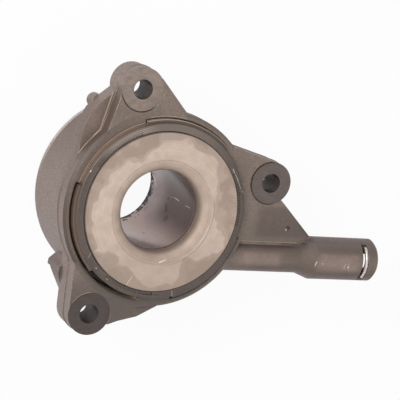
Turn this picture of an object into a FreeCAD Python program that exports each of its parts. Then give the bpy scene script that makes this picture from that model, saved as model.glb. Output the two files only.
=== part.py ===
import FreeCAD, Part
import os
import Sketcher

# Concentric slave cylinder: an annular hydraulic cylinder around a guide tube,
# with the release bearing on its ring piston. +Z runs along the release stroke,
# +X along the pipe port. The origin is on the bore axis, in the plane of the
# rear faces of the three mounting ears. All lengths are in millimetres.

doc = FreeCAD.newDocument("slave_cylinder")
sheet = doc.addObject("Spreadsheet::Sheet", "Sheet")

sizes = {
    # Mounting ears
    "bolt_circle_r": 53.5,  # radius of the circle through the three bolt holes
    "ear_top_deg": 105.7,  # direction of the upper ear
    "ear_right_deg": 15.7,  # direction of the ear beside the port
    "ear_low_deg": 241.5,  # direction of the lower ear
    "ear_r": 9.45,  # rounding of the ear ends
    "front_z": 16,  # front face of housing and ears
    "mid_z": 8.5,  # mould parting plane and port axis
    "bolt_hole_dia": 8.4,  # clearance hole for an M8 bolt
    "spotface_r": 9.6,  # machined seat of the bolt head
    "spotface_depth": 0.7,  # depth of the seat below the front face
    "relief_right": 0.8,  # width of the crescent groove at the seat beside the port
    "relief_right_deg": 175,  # side of that seat on which the groove lies
    "relief_top": 0.35,  # width of the crescent groove at the upper seat
    "relief_top_deg": 225,  # side of that seat on which the groove lies
    "relief_depth": 0.8,  # depth of the crescent grooves below the seat
    "relief_step": 0.2,  # step between a seat's rim and the disc that the groove leaves
    "relief_fade": 0.6,  # how far the groove's circle ends inside the rim on the far side
    # Housing drum
    "drum_r": 43.1,  # drum radius at the front
    "drum_rear_r": 42.5,  # drum radius at the rear, with mould draft
    "drum_edge": 1.2,  # front edge bevel
    "drum_rear_z": -27.5,  # rear face of the drum
    "drum_rear_round": 3,  # rounding of the drum's rear edge
    "parting_rise": 0.25,  # height of the mould parting ridge
    "parting_half": 0.4,  # half width of the mould parting ridge
    "spigot_r": 23,  # rear pilot spigot radius
    "spigot_rear_z": -40,  # rear end of the pilot spigot
    "spigot_edge": 1.2,  # bevel on the spigot end
    "recess_r": 38.85,  # bore in which the bearing carrier moves
    "recess_edge": 0.4,  # bevel on the recess mouth
    "spring_floor_z": -17,  # floor of the spring space
    "barrel_r": 29.4,  # outside of the pressure cylinder wall
    "barrel_top_z": 2,  # front end of the pressure cylinder wall
    "cylinder_r": 26.2,  # pressure cylinder bore
    "cylinder_floor_z": -22.5,  # bottom of the pressure chamber
    "wiper_seat_r": 27.9,  # seat of the wiper ring in the cylinder wall
    "wiper_seat_depth": 2.2,  # depth of the wiper seat
    "core_in_r": 28,  # inner wall of the rear core pockets
    "core_out_r": 38.6,  # outer wall of the rear core pockets
    "core_depth": 6.5,  # depth of the rear core pockets
    "core_start_deg": 4,  # start of the first rear core pocket
    "core_span_deg": 42,  # angle spanned by one rear core pocket
    "core_pitch_deg": 48,  # angle from one rear core pocket to the next
    "core_count": 6,  # number of rear core pockets
    # Cutouts of the recess that guide the lugs of the carrier
    "cutout_r": 40.4,  # reach of the lug cutouts
    "cutout_depth": 20,  # depth of the lug cutouts below the front face
    "cutout_a_deg": 47,  # start of the first lug cutout
    "cutout_b_deg": 165,  # start of the second lug cutout
    "cutout_c_deg": 285,  # start of the third lug cutout
    "cutout_span_deg": 60,  # angle spanned by each lug cutout
    "cutout_open_deg": 38,  # angle spanned by the open assembly cutout
    # Arms, ledge and web
    "arm_top_left_deg": 131.4,  # foot of the upper arm's left wall on the drum
    "arm_top_right_deg": 80,  # foot of the upper arm's right wall on the drum
    "arm_right_foot_deg": 43.8,  # foot of the right arm's upper wall on the drum
    "arm_low_left_deg": 214.5,  # foot of the lower arm's left wall on the drum
    "arm_low_right_deg": 276.5,  # foot of the lower arm's right wall on the drum
    "arm_low_knee_deg": 265.3,  # knee in the lower arm's right wall
    "arm_low_knee_r": 47.6,  # reach of that knee
    "arm_low_flank_deg": 256,  # flank between that knee and the waist
    "arm_low_flank_r": 51.2,  # reach of that flank
    "arm_low_waist_deg": 251.8,  # waist between the lower arm and its ear
    "arm_low_waist_r": 54.1,  # reach of that waist
    "wall_top_left_deg": 191.5,  # direction that the upper arm's left wall faces
    "wall_top_right_deg": 45.8,  # direction that the upper arm's right wall faces
    "wall_right_deg": 73.7,  # direction that the right arm's upper wall faces
    "wall_web_deg": -50.5,  # direction that the web's outer wall faces
    "wall_low_left_deg": 180,  # direction that the lower arm's left wall faces
    "wall_low_right_deg": 285,  # direction that the lower arm's right wall faces
    "ledge_in_deg": 150.5,  # end of the ledge on the drum
    "ledge_a_deg": 143,  # first point along the ledge's curved edge
    "ledge_a_r": 46.6,  # reach at the first point
    "ledge_b_deg": 136.9,  # second point along the ledge's edge
    "ledge_b_r": 49.6,  # reach at the second point
    "ledge_c_deg": 129.5,  # third point along the ledge's edge
    "ledge_c_r": 52.2,  # reach at the third point
    "ledge_d_deg": 122.4,  # fourth point along the ledge's edge
    "ledge_d_r": 53.6,  # reach at the fourth point
    "web_low_y": -11.9,  # lower edge of the web beside the port
    "web_rear_z": 6,  # rear face of the web
    "web_start_x": 39.5,  # inner end of the web
    "web_corner_x": 69.8,  # corner of the web's lower edge
    "web_tip_x": 74.1,  # tip of the web
    "web_tip_y": -8.7,  # tip of the web
    "web_slab_z": 12.4,  # top of the slab between web and port tube
    "dimple_x": 62.6,  # ejector dimple on the web
    "dimple_y": -5.5,  # ejector dimple on the web
    "dimple_r": 1.3,  # radius of the ejector dimple
    "dimple_depth": 0.7,  # depth of the ejector dimple
    "gusset_rear_z": -14,  # rear end of the gusset behind the lower arm
    "gusset_drum_deg": 219.5,  # gusset's left wall on the drum
    "gusset_tip_deg": 222.4,  # gusset's outer corner
    "gusset_tip_r": 49.4,  # reach of the gusset's rear end
    "gusset_foot_deg": 231,  # gusset's foot behind the ear
    "gusset_foot_r": 54.1,  # reach of the gusset's foot
    "peg_deg": 123.4,  # direction of the locating peg
    "peg_at_r": 50.6,  # reach of the locating peg
    "peg_r": 3.2,  # radius of the locating peg
    "peg_tip_z": -7,  # tip of the locating peg
    "peg_edge": 0.7,  # bevel on the peg tip
    "peg_collar": 0.3,  # width of the collar at the root of the peg
    # Pipe port
    "port_y": -20,  # offset of the port axis
    "port_start_x": 36,  # start of the port tube inside the drum wall
    "port_neck_r": 7.1,  # radius of the narrow port tube
    "port_neck_x": 72.2,  # end of the narrow port tube
    "port_r": 9.64,  # radius of the wide port tube
    "port_wide_x": 79,  # start of the wide port tube
    "port_end_x": 110.6,  # end of the port tube
    "port_end_edge": 1.4,  # bevel on the port end
    "port_bore_r": 5.6,  # bore for the pipe's plug
    "port_bore_x": 88,  # bottom of the plug bore
    "port_seat_r": 4.6,  # bore for the plug's nose
    "port_seat_x": 82,  # bottom of the nose bore
    "port_lead": 1,  # lead-in of the plug bore
    "passage_r": 2,  # fluid passage along the port
    "slot_x": 102.2,  # inner side of the clip slot
    "slot_width": 3.1,  # width of the clip slot along the port
    "slot_height": 4.2,  # height of the slot's floor above the port axis
    "leg_offset": 6.5,  # offset of the clip legs from the port axis
    "leg_slot_width": 2.2,  # width of the leg slots
    "leg_slot_depth": 9,  # depth of the leg slots below the slot's floor
    "clip_wire_r": 0.8,  # radius of the clip wire
    "clip_bow_r": 8.9,  # radius of the clip's bow
    "clip_x": 104.35,  # middle plane of the clip
    "clip_leg_length": 7.6,  # length of the clip legs below the bow ends
    # Fluid channel from port to chamber
    "gallery_x": 45,  # axis of the rising channel
    "gallery_r": 1.6,  # radius of the rising channel
    "gallery_boss_x": 46,  # axis of the channel's boss
    "gallery_boss_r": 6.3,  # radius of the channel's boss
    "gallery_rear_z": -27,  # rear end of the channel's boss
    "cross_z": -20.8,  # height of the cross channel
    "cross_r": 1.5,  # radius of the cross channel
    "cross_in_x": 17.5,  # inner end of the cross channel
    "plug_r": 2,  # radius of the plug balls
    "plug_depth": 2.6,  # depth of a plug ball's centre below the surface
    "plug_gap": 0.03,  # gap between a plug ball and its seat
    # Guide tube
    "tube_in_r": 17.8,  # guide tube bore
    "tube_out_r": 19,  # guide tube outside
    "tube_top_z": 14.5,  # front end of the guide tube
    "tube_flange_r": 21,  # rear flange of the guide tube
    "tube_flange_t": 1.2,  # thickness of the tube's flange
    "tube_edge": 0.4,  # bevel on the tube ends
    "tube_ring_z": -31,  # middle of the tube's seal ring groove
    "tube_ring_half": 1.3,  # half width of the seal ring groove
    "tube_ring_r": 0.95,  # cord radius of the tube's seal ring
    "tube_fit": 0.02,  # gap between guide tube and housing
    # Piston and its seal
    "slide_gap": 0.08,  # running gap of the piston on tube and cylinder
    "piston_rear_z": -14,  # rear end of the piston
    "piston_front_z": 3.5,  # face of the piston against the carrier
    "piston_nose_r": 20.4,  # outside of the piston's nose in the carrier
    "piston_nose_z": 5.6,  # front end of the piston's nose
    "piston_skirt": 0.6,  # relief of the piston between its guide lands
    "piston_land": 4,  # length of each guide land
    "band_half": 1.2,  # half width of the guide bands
    "band_t": 0.7,  # thickness of the guide bands
    "seal_rear_z": -19,  # rear edge of the seal lips
    "seal_gap": 0.04,  # gap of the seal lips on tube and cylinder
    "seal_lip_t": 1.3,  # thickness of a seal lip
    "seal_notch_z": -16.2,  # bottom of the notch between the lips
    "seal_neck": 0.5,  # relief of the seal behind its lips
    "clasp_half": 0.9,  # half thickness of the seal clasp
    "clasp_front_z": -11.5,  # front end of the seal clasp
    "clasp_bead": 0.6,  # bead that holds the clasp in the piston
    "clasp_gap": 0.05,  # gap between the clasp and its grooves
    # Carrier and preload spring
    "carrier_in_r": 35.35,  # inside of the bearing carrier
    "carrier_out_r": 38.5,  # outside of the bearing carrier
    "carrier_top_z": 19.2,  # front rim of the bearing carrier
    "carrier_floor_t": 2.2,  # thickness of the carrier's floor
    "carrier_hole_r": 20.5,  # hole in the carrier's floor
    "carrier_skirt_z": -1,  # rear end of the carrier's skirt
    "carrier_skirt_r": 36.7,  # inside of the carrier's skirt
    "lug_a_r": 40.05,  # reach of the carrier's lug below the upper ear
    "lug_b_r": 39.6,  # reach of the carrier's second lug
    "lug_c_r": 39.6,  # reach of the carrier's third lug
    "lug_top_z": 17.8,  # front face of the lugs
    "lug_rear_z": -1,  # rear face of the lugs
    "lug_gap_deg": 0.9,  # side gap of the lugs in their cutouts
    "window_out_r": 36.7,  # outer side of the rim pockets
    "window_depth": 0.5,  # depth of the rim pockets
    "window_rib_t": 0.5,  # thickness of the radial ribs in the rim pockets
    "window_rib_low": 0.12,  # height of the rim above those ribs
    "window_rib_count": 19,  # number of ribs in one rim pocket
    "window_rib_pitch_deg": 1.9,  # angle from one rib to the next
    "window_a_deg": 112,  # start of the first rim pocket
    "window_b_deg": 233,  # start of the second rim pocket
    "window_c_deg": 353,  # start of the third rim pocket
    "window_span_deg": 38,  # angle spanned by each rim pocket
    "clip_seat_z": 15.7,  # rear side of the retaining ring groove
    "clip_seat_t": 0.9,  # width of the retaining ring groove
    "clip_seat_r": 36.4,  # bottom of the retaining ring groove
    "retainer_in_r": 32.9,  # inside of the retaining ring
    "retainer_gap": 0.1,  # gap of the retaining ring in its groove
    "retainer_gap_deg": 14,  # opening of the retaining ring
    "spring_seat_t": 1,  # thickness of the spring's seat washer
    "spring_seat_in_r": 29.9,  # inside of the seat washer
    "spring_seat_out_r": 38.3,  # outside of the seat washer
    "spring_r": 33.2,  # mean radius of the preload spring
    "spring_wire_r": 1.4,  # wire radius of the preload spring
    "spring_turns": 3.5,  # turns of the preload spring
    "wave_in_r": 28,  # inside of the wave washer
    "wave_out_r": 33.8,  # outside of the wave washer
    "wave_t": 0.4,  # thickness of the wave washer
    "wave_rise": 0.28,  # rise of each wave
    # Release bearing
    "face_z": 20,  # bearing face towards the clutch
    "ring_r": 35,  # outside of the thrust ring
    "ring_bore_r": 17.85,  # inside of the thrust ring's lip
    "ring_lip_z": 15.3,  # rear edge of the lip
    "ring_lip_round": 4.4,  # rounding of the lip
    "ring_step": 0.15,  # height of the ground face above the lip
    "ring_step_r": 22.8,  # start of the ground face
    "ring_edge": 0.3,  # outer bevel of the thrust ring
    "ring_rim_z": 17.6,  # rear edge of the thrust ring's rim
    "ring_rim_in_r": 33.2,  # inside of the rim
    "ring_plate_z": 18.2,  # rear face of the ring's plate
    "ring_track_r": 29.35,  # outside of the ring's ball track
    "ring_sleeve_in_r": 20,  # inside of the ring's sleeve
    "ring_sleeve_out_r": 22.4,  # outside of the ring's sleeve
    "ring_sleeve_z": 8.8,  # rear end of the ring's sleeve
    "ball_pitch_r": 27.5,  # radius of the circle of balls
    "ball_z": 12.7,  # height of the ball centres
    "ball_r": 3.57,  # radius of a ball
    "ball_count": 16,  # number of balls
    "track_r": 3.7,  # radius of the ball tracks
    "race_r": 34.2,  # outside of the fixed ring
    "race_in_r": 25.65,  # inside of the fixed ring
    "race_rear_z": 6.7,  # rear face of the fixed ring
    "race_top_z": 15.6,  # front face of the fixed ring
    "race_lip_r": 31.9,  # front bore of the fixed ring
    "cage_half_length": 4.4,  # half length of the cage's cone
    "cage_half_t": 0.5,  # half thickness of the cage
    "pocket_gap": 0.25,  # gap between ball and cage pocket
    "dust_in_r": 31.5,  # inside of the front bearing seal
    "dust_out_r": 32.7,  # outside of the front bearing seal
    "dust_top_z": 17.95,  # lip of the front bearing seal
    "dust_rear_z": 14.9,  # foot of the front bearing seal
    "dust_lip_r": 30.3,  # inner edge of the front seal's lip
    "shield_in_r": 22.8,  # inside of the rear bearing shield
    "shield_rear_z": 7.1,  # rear face of the rear shield
    "shield_front_z": 8.3,  # front face of the rear shield
}
for row, (alias, value) in enumerate(sizes.items(), 1):
    sheet.set(f"A{row}", alias)
    sheet.set(f"B{row}", str(value))
    sheet.setAlias(f"B{row}", alias)
doc.recompute()


def number(text):
    """Value of an expression over the sheet, in millimetres or degrees."""
    found = sheet.evalExpression(text)
    return float(getattr(found, "Value", found))


def polar(radius, degrees):
    """Pair of expressions for a point at a radius and a direction."""
    angle = f"(({degrees}) * 1 deg)"
    return (f"({radius}) * cos{angle}", f"({radius}) * sin{angle}")


def shifted(point, radius, degrees):
    """Pair of expressions for a point at a radius and a direction from another."""
    dx, dy = polar(radius, degrees)
    return (f"{point[0]} + {dx}", f"{point[1]} + {dy}")


def new_body(name):
    """Empty body that becomes one handed-in solid."""
    body = doc.addObject("PartDesign::Body", name)
    body.Label = name
    return body


def new_sketch(body, role, name, lift="0", turn="0"):
    """Sketch on an origin plane, lifted along its normal and turned about +Z."""
    plane = [f for f in body.Origin.OriginFeatures if f.Role == role][0]
    sketch = body.newObject("Sketcher::SketchObject", name)
    sketch.AttachmentSupport = [(plane, "")]
    sketch.MapMode = "FlatFace"
    spin = FreeCAD.Vector(0, 1, 0) if role == "XZ_Plane" else FreeCAD.Vector(0, 0, 1)
    offset = FreeCAD.Vector(0, 0, number(lift))
    sketch.AttachmentOffset = FreeCAD.Placement(offset, FreeCAD.Rotation(spin, number(turn)))
    if lift != "0":
        sketch.setExpression("AttachmentOffset.Base.z", lift)
    if turn != "0":
        sketch.setExpression("AttachmentOffset.Rotation.Angle", f"({turn}) * 1 deg")
    return sketch


def bind(sketch, kind, geo, pos, text):
    """Distance from the sketch origin to a point, bound to an expression."""
    place = sketch.addConstraint(Sketcher.Constraint(kind, -1, 1, geo, pos, number(text)))
    sketch.setExpression(f"Constraints[{place}]", text)


def outline(sketch, points):
    """Closed outline through points given as pairs of expressions."""
    places = [FreeCAD.Vector(number(x), number(y), 0) for x, y in points]
    first = sketch.GeometryCount
    count = len(points)
    for i in range(count):
        line = Part.LineSegment(places[i], places[(i + 1) % count])
        sketch.addGeometry(line, False)
    for i in range(count):
        following = first + (i + 1) % count
        sketch.addConstraint(Sketcher.Constraint("Coincident", first + i, 2, following, 1))
    for i, (x, y) in enumerate(points):
        bind(sketch, "DistanceX", first + i, 1, x)
        bind(sketch, "DistanceY", first + i, 1, y)


def circle(sketch, x, y, radius):
    """Circle whose centre and radius are expressions."""
    centre = FreeCAD.Vector(number(x), number(y), 0)
    geo = sketch.addGeometry(Part.Circle(centre, FreeCAD.Vector(0, 0, 1), number(radius)), False)
    bind(sketch, "DistanceX", geo, 3, x)
    bind(sketch, "DistanceY", geo, 3, y)
    place = sketch.addConstraint(Sketcher.Constraint("Radius", geo, number(radius)))
    sketch.setExpression(f"Constraints[{place}]", radius)


def turned(body, name, points, cut=False, start="0", span="360"):
    """Outline in radius and height turned about the bore axis."""
    sketch = new_sketch(body, "XZ_Plane", name + "_sketch", turn=start)
    outline(sketch, points)
    return spun(body, sketch, name, "V_Axis", cut, span)


def spun(body, sketch, name, axis, cut=False, span="360"):
    """Revolution or groove of a sketch about one of its own axes."""
    kind = "PartDesign::Groove" if cut else "PartDesign::Revolution"
    feature = body.newObject(kind, name)
    feature.Profile = sketch
    feature.ReferenceAxis = (sketch, [axis])
    feature.Angle = number(span)
    feature.setExpression("Angle", f"({span}) * 1 deg")
    sketch.Visibility = False
    doc.recompute()
    return feature


def raised(body, sketch, name, length):
    """Pad of a sketch along its normal."""
    feature = body.newObject("PartDesign::Pad", name)
    feature.Profile = sketch
    feature.Length = number(length)
    feature.setExpression("Length", length)
    sketch.Visibility = False
    doc.recompute()
    return feature


def sunk(body, sketch, name, depth, reverse=False):
    """Pocket of a sketch against its normal, or along it when reversed."""
    feature = body.newObject("PartDesign::Pocket", name)
    feature.Profile = sketch
    feature.Length = number(depth)
    feature.setExpression("Length", depth)
    feature.Reversed = reverse
    sketch.Visibility = False
    doc.recompute()
    return feature


def rings_at(feature, radius, height):
    """Names of the circular edges of a feature with a radius and height."""
    names = []
    for i, edge in enumerate(feature.Shape.Edges):
        curve = edge.Curve
        if curve.TypeId != "Part::GeomCircle":
            continue
        near = abs(curve.Radius - radius) < 0.02 and abs(curve.Center.z - height) < 0.02
        if near and abs(curve.Center.x) < 0.02 and abs(curve.Center.y) < 0.02:
            names.append(f"Edge{i + 1}")
    return names


def rounded(body, name, base, names, radius):
    """Fillet on chosen edges of the last feature."""
    feature = body.newObject("PartDesign::Fillet", name)
    feature.Base = (base, names)
    feature.Radius = number(radius)
    feature.setExpression("Radius", radius)
    doc.recompute()
    return feature


EARS = ("top", "right", "low")


def ear_centre(ear):
    """Pair of expressions for the centre of one ear's bolt hole."""
    return polar("Sheet.bolt_circle_r", f"Sheet.ear_{ear}_deg")


def add_drum(body):
    """Drum with its parting ridge and the rear pilot spigot."""
    mid_r = "(Sheet.drum_r + Sheet.drum_rear_r) / 2 + 0.15"
    points = [
        ("0", "Sheet.front_z"),
        ("Sheet.drum_r - Sheet.drum_edge", "Sheet.front_z"),
        ("Sheet.drum_r", "Sheet.front_z - Sheet.drum_edge"),
        (mid_r, "Sheet.mid_z + Sheet.parting_half"),
        (f"{mid_r} + Sheet.parting_rise", "Sheet.mid_z"),
        (mid_r, "Sheet.mid_z - Sheet.parting_half"),
        ("Sheet.drum_rear_r", "Sheet.drum_rear_z"),
        ("Sheet.spigot_r", "Sheet.drum_rear_z"),
        ("Sheet.spigot_r", "Sheet.spigot_rear_z + Sheet.spigot_edge"),
        ("Sheet.spigot_r - Sheet.spigot_edge", "Sheet.spigot_rear_z"),
        ("0", "Sheet.spigot_rear_z"),
    ]
    drum = turned(body, "drum", points)
    edge = rings_at(drum, number("Sheet.drum_rear_r"), number("Sheet.drum_rear_z"))
    rounded(body, "drum_rear_rounding", drum, edge, "Sheet.drum_rear_round")


def arm_outline(ear, grow):
    """Outline of one arm with walls tangent to its ear, moved out by a growth."""
    centre = ear_centre(ear)
    core = polar("Sheet.recess_r - 6", f"Sheet.ear_{ear}_deg")
    end = f"Sheet.ear_r + {grow}"
    foot = "Sheet.drum_r - 0.3"
    if ear == "top":
        left = polar(foot, "Sheet.arm_top_left_deg")
        right = polar(foot, "Sheet.arm_top_right_deg")
        return [
            shifted(centre, end, "Sheet.wall_top_left_deg"),
            shifted(left, grow, "Sheet.wall_top_left_deg"),
            core,
            shifted(right, grow, "Sheet.wall_top_right_deg"),
            shifted(centre, end, "Sheet.wall_top_right_deg"),
        ]
    if ear == "right":
        upper = polar(foot, "Sheet.arm_right_foot_deg")
        return [
            shifted(centre, end, "Sheet.wall_right_deg"),
            shifted(upper, grow, "Sheet.wall_right_deg"),
            core,
            ("Sheet.web_start_x", "Sheet.web_low_y"),
            ("Sheet.web_start_x + 8", "Sheet.web_low_y"),
            shifted(centre, end, "Sheet.wall_web_deg"),
        ]
    left = polar(foot, "Sheet.arm_low_left_deg")
    right = polar(foot, "Sheet.arm_low_right_deg")
    points = [
        shifted(centre, end, "Sheet.wall_low_left_deg"),
        shifted(left, grow, "Sheet.wall_low_left_deg"),
        core,
        shifted(right, grow, "Sheet.wall_low_right_deg"),
    ]
    for bend in ("knee", "flank", "waist"):
        place = polar(f"Sheet.arm_low_{bend}_r", f"Sheet.arm_low_{bend}_deg")
        points.append(shifted(place, grow, "Sheet.wall_low_right_deg"))
    return points + [centre]


def add_arm(body, ear, part, rear, height, grow):
    """One ear with its arm, padded over a height and grown by an amount."""
    x, y = ear_centre(ear)
    end = new_sketch(body, "XY_Plane", f"ear_{ear}_{part}_sketch", lift=rear)
    circle(end, x, y, f"Sheet.ear_r + {grow}")
    raised(body, end, f"ear_{ear}_{part}", height)
    arm = new_sketch(body, "XY_Plane", f"arm_{ear}_{part}_sketch", lift=rear)
    outline(arm, arm_outline(ear, grow))
    raised(body, arm, f"arm_{ear}_{part}", height)


def add_arms(body):
    """Three ears with arms, each with the parting ridge round its walls."""
    for ear in EARS:
        add_arm(body, ear, "wall", "0", "Sheet.front_z", "0")
        add_arm(body, ear, "ridge", "Sheet.mid_z - Sheet.parting_half",
                "2 * Sheet.parting_half", "Sheet.parting_rise")


def add_ledge(body):
    """Thin ledge at the parting plane between the upper arm and the drum."""
    sketch = new_sketch(body, "XY_Plane", "ledge_sketch")
    outline(sketch, [
        shifted(ear_centre("top"), "Sheet.ear_r", "Sheet.wall_top_left_deg"),
        polar("Sheet.ledge_d_r", "Sheet.ledge_d_deg"),
        polar("Sheet.ledge_c_r", "Sheet.ledge_c_deg"),
        polar("Sheet.ledge_b_r", "Sheet.ledge_b_deg"),
        polar("Sheet.ledge_a_r", "Sheet.ledge_a_deg"),
        polar("Sheet.drum_r - 0.3", "Sheet.ledge_in_deg"),
        polar("Sheet.recess_r - 6", "Sheet.arm_top_left_deg"),
        ear_centre("top"),
    ])
    raised(body, sketch, "ledge", "Sheet.mid_z + 0.5")
    peg = new_sketch(body, "XY_Plane", "peg_sketch", lift="Sheet.peg_tip_z + Sheet.peg_edge")
    x, y = polar("Sheet.peg_at_r", "Sheet.peg_deg")
    circle(peg, x, y, "Sheet.peg_r")
    raised(body, peg, "peg", "-Sheet.peg_tip_z - Sheet.peg_edge")
    collar = new_sketch(body, "XY_Plane", "peg_collar_sketch")
    circle(collar, x, y, "Sheet.peg_r + Sheet.peg_collar")
    raised(body, collar, "peg_collar", "1")
    tip = new_sketch(body, "XY_Plane", "peg_tip_sketch", lift="Sheet.peg_tip_z")
    circle(tip, x, y, "Sheet.peg_r - Sheet.peg_edge / 2")
    raised(body, tip, "peg_tip", "Sheet.peg_edge + 1")


def add_web(body):
    """Triangular web between the right ear and the port tube."""
    sketch = new_sketch(body, "XY_Plane", "web_sketch", lift="Sheet.web_rear_z")
    outline(sketch, [
        ("Sheet.web_start_x", "Sheet.web_low_y"),
        ("Sheet.web_corner_x", "Sheet.web_low_y"),
        ("Sheet.web_tip_x", "Sheet.web_tip_y"),
        shifted(ear_centre("right"), "Sheet.ear_r", "Sheet.wall_web_deg"),
        ear_centre("right"),
        ("Sheet.web_start_x", "Sheet.bolt_circle_r * sin(Sheet.ear_right_deg * 1 deg)"),
    ])
    raised(body, sketch, "web", "Sheet.front_z - Sheet.web_rear_z")
    slab = new_sketch(body, "XY_Plane", "slab_sketch", lift="Sheet.web_rear_z")
    outline(slab, [
        ("Sheet.web_start_x - 2", "Sheet.port_y"),
        ("Sheet.web_tip_x + 3", "Sheet.port_y"),
        ("Sheet.web_tip_x + 3", "Sheet.web_tip_y - 4.5"),
        ("Sheet.web_corner_x - 2", "Sheet.web_low_y + 1"),
        ("Sheet.web_start_x - 2", "Sheet.web_low_y + 1"),
    ])
    raised(body, slab, "slab", "Sheet.web_slab_z - Sheet.web_rear_z")
    dimple = new_sketch(body, "XY_Plane", "dimple_sketch", lift="Sheet.front_z")
    circle(dimple, "Sheet.dimple_x", "Sheet.dimple_y", "Sheet.dimple_r")
    sunk(body, dimple, "dimple", "Sheet.dimple_depth")


def add_port(body):
    """Port tube: narrow neck, cone and wide socket, along +X."""
    sketch = new_sketch(body, "XZ_Plane", "port_sketch", lift="-Sheet.port_y")
    sketch.setExpression("AttachmentOffset.Base.y", "Sheet.mid_z")
    outline(sketch, [
        ("Sheet.port_start_x", "0"),
        ("Sheet.port_start_x", "Sheet.port_neck_r"),
        ("Sheet.port_neck_x", "Sheet.port_neck_r"),
        ("Sheet.port_wide_x", "Sheet.port_r"),
        ("Sheet.port_end_x - Sheet.port_end_edge", "Sheet.port_r"),
        ("Sheet.port_end_x", "Sheet.port_r - Sheet.port_end_edge"),
        ("Sheet.port_end_x", "0"),
    ])
    spun(body, sketch, "port_tube", "H_Axis")
    boss = new_sketch(body, "XY_Plane", "gallery_boss_sketch", lift="Sheet.gallery_rear_z")
    circle(boss, "Sheet.gallery_boss_x", "Sheet.port_y", "Sheet.gallery_boss_r")
    raised(body, boss, "gallery_boss", "Sheet.mid_z - Sheet.gallery_rear_z")
    fill = new_sketch(body, "XY_Plane", "gallery_fill_sketch", lift="Sheet.gallery_rear_z")
    outline(fill, [
        ("Sheet.gallery_boss_x", "Sheet.port_y - Sheet.gallery_boss_r"),
        ("Sheet.gallery_boss_x", "Sheet.port_y + Sheet.gallery_boss_r"),
        ("Sheet.gallery_boss_x - 9", "Sheet.port_y + Sheet.gallery_boss_r"),
        ("Sheet.gallery_boss_x - 14", "Sheet.port_y - Sheet.gallery_boss_r"),
    ])
    raised(body, fill, "gallery_fill", "Sheet.mid_z - Sheet.gallery_rear_z")


def add_gusset(body):
    """Gusset on the drum behind the lower arm, tapering to the rear."""
    sketch = new_sketch(body, "XY_Plane", "gusset_sketch", lift="Sheet.gusset_rear_z")
    outline(sketch, [
        polar("Sheet.drum_r - 4", "Sheet.gusset_drum_deg"),
        polar("Sheet.gusset_tip_r - 2", "Sheet.gusset_drum_deg + 0.6"),
        polar("Sheet.gusset_tip_r", "Sheet.gusset_tip_deg"),
        polar("Sheet.gusset_foot_r", "Sheet.gusset_foot_deg"),
        polar("Sheet.drum_r - 4", "Sheet.gusset_foot_deg + 4"),
    ])
    raised(body, sketch, "gusset", "-Sheet.gusset_rear_z + 1")
    slope = new_sketch(body, "XZ_Plane", "gusset_slope_sketch", turn="Sheet.gusset_foot_deg - 2")
    outline(slope, [
        ("Sheet.gusset_foot_r + 6", "-1"),
        ("Sheet.gusset_foot_r - 0.5", "-1"),
        ("Sheet.gusset_tip_r - 2.5", "Sheet.gusset_rear_z - 1"),
        ("Sheet.gusset_foot_r + 6", "Sheet.gusset_rear_z - 1"),
    ])
    cut = spun(body, slope, "gusset_slope", "V_Axis", True, "14")
    cut.Midplane = True
    doc.recompute()


def cut_inside(body):
    """Recess, spring space, pressure cylinder and bore of the guide tube."""
    floor_r = "Sheet.barrel_r"
    turned(body, "recess", [
        ("0", "Sheet.front_z + 2"),
        ("Sheet.recess_r + Sheet.recess_edge", "Sheet.front_z + 2"),
        ("Sheet.recess_r + Sheet.recess_edge", "Sheet.front_z"),
        ("Sheet.recess_r", "Sheet.front_z - Sheet.recess_edge"),
        ("Sheet.recess_r", "Sheet.spring_floor_z"),
        (floor_r, "Sheet.spring_floor_z"),
        (floor_r, "Sheet.barrel_top_z"),
        ("Sheet.wiper_seat_r", "Sheet.barrel_top_z"),
        ("Sheet.wiper_seat_r", "Sheet.barrel_top_z - Sheet.wiper_seat_depth"),
        ("Sheet.cylinder_r", "Sheet.barrel_top_z - Sheet.wiper_seat_depth"),
        ("Sheet.cylinder_r", "Sheet.cylinder_floor_z"),
        ("Sheet.tube_out_r + Sheet.tube_fit", "Sheet.cylinder_floor_z"),
        ("Sheet.tube_out_r + Sheet.tube_fit", "Sheet.tube_ring_z + Sheet.tube_ring_half"),
        ("Sheet.tube_out_r + 2 * Sheet.tube_ring_r", "Sheet.tube_ring_z + Sheet.tube_ring_half"),
        ("Sheet.tube_out_r + 2 * Sheet.tube_ring_r", "Sheet.tube_ring_z - Sheet.tube_ring_half"),
        ("Sheet.tube_out_r + Sheet.tube_fit", "Sheet.tube_ring_z - Sheet.tube_ring_half"),
        ("Sheet.tube_out_r + Sheet.tube_fit", "Sheet.spigot_rear_z + Sheet.tube_flange_t"),
        ("Sheet.tube_flange_r + Sheet.tube_fit", "Sheet.spigot_rear_z + Sheet.tube_flange_t"),
        ("Sheet.tube_flange_r + Sheet.tube_fit", "Sheet.spigot_rear_z - 1"),
        ("0", "Sheet.spigot_rear_z - 1"),
    ], cut=True)


def cut_cutouts(body):
    """Cutouts beside the recess for the lugs; the second runs on as an open one."""
    reach = "Sheet.cutout_r"
    spans = (
        ("cutout_a", "Sheet.cutout_a_deg", "Sheet.cutout_span_deg"),
        ("cutout_b", "Sheet.cutout_b_deg", "Sheet.cutout_span_deg + Sheet.cutout_open_deg"),
        ("cutout_c", "Sheet.cutout_c_deg", "Sheet.cutout_span_deg"),
    )
    for name, start, span in spans:
        turned(body, name, [
            ("Sheet.recess_r - 2", "Sheet.front_z + 2"),
            (f"{reach} + Sheet.recess_edge", "Sheet.front_z + 2"),
            (f"{reach} + Sheet.recess_edge", "Sheet.front_z"),
            (reach, "Sheet.front_z - Sheet.recess_edge"),
            (reach, "Sheet.front_z - Sheet.cutout_depth"),
            ("Sheet.recess_r - 2", "Sheet.front_z - Sheet.cutout_depth"),
        ], cut=True, start=start, span=span)


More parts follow.
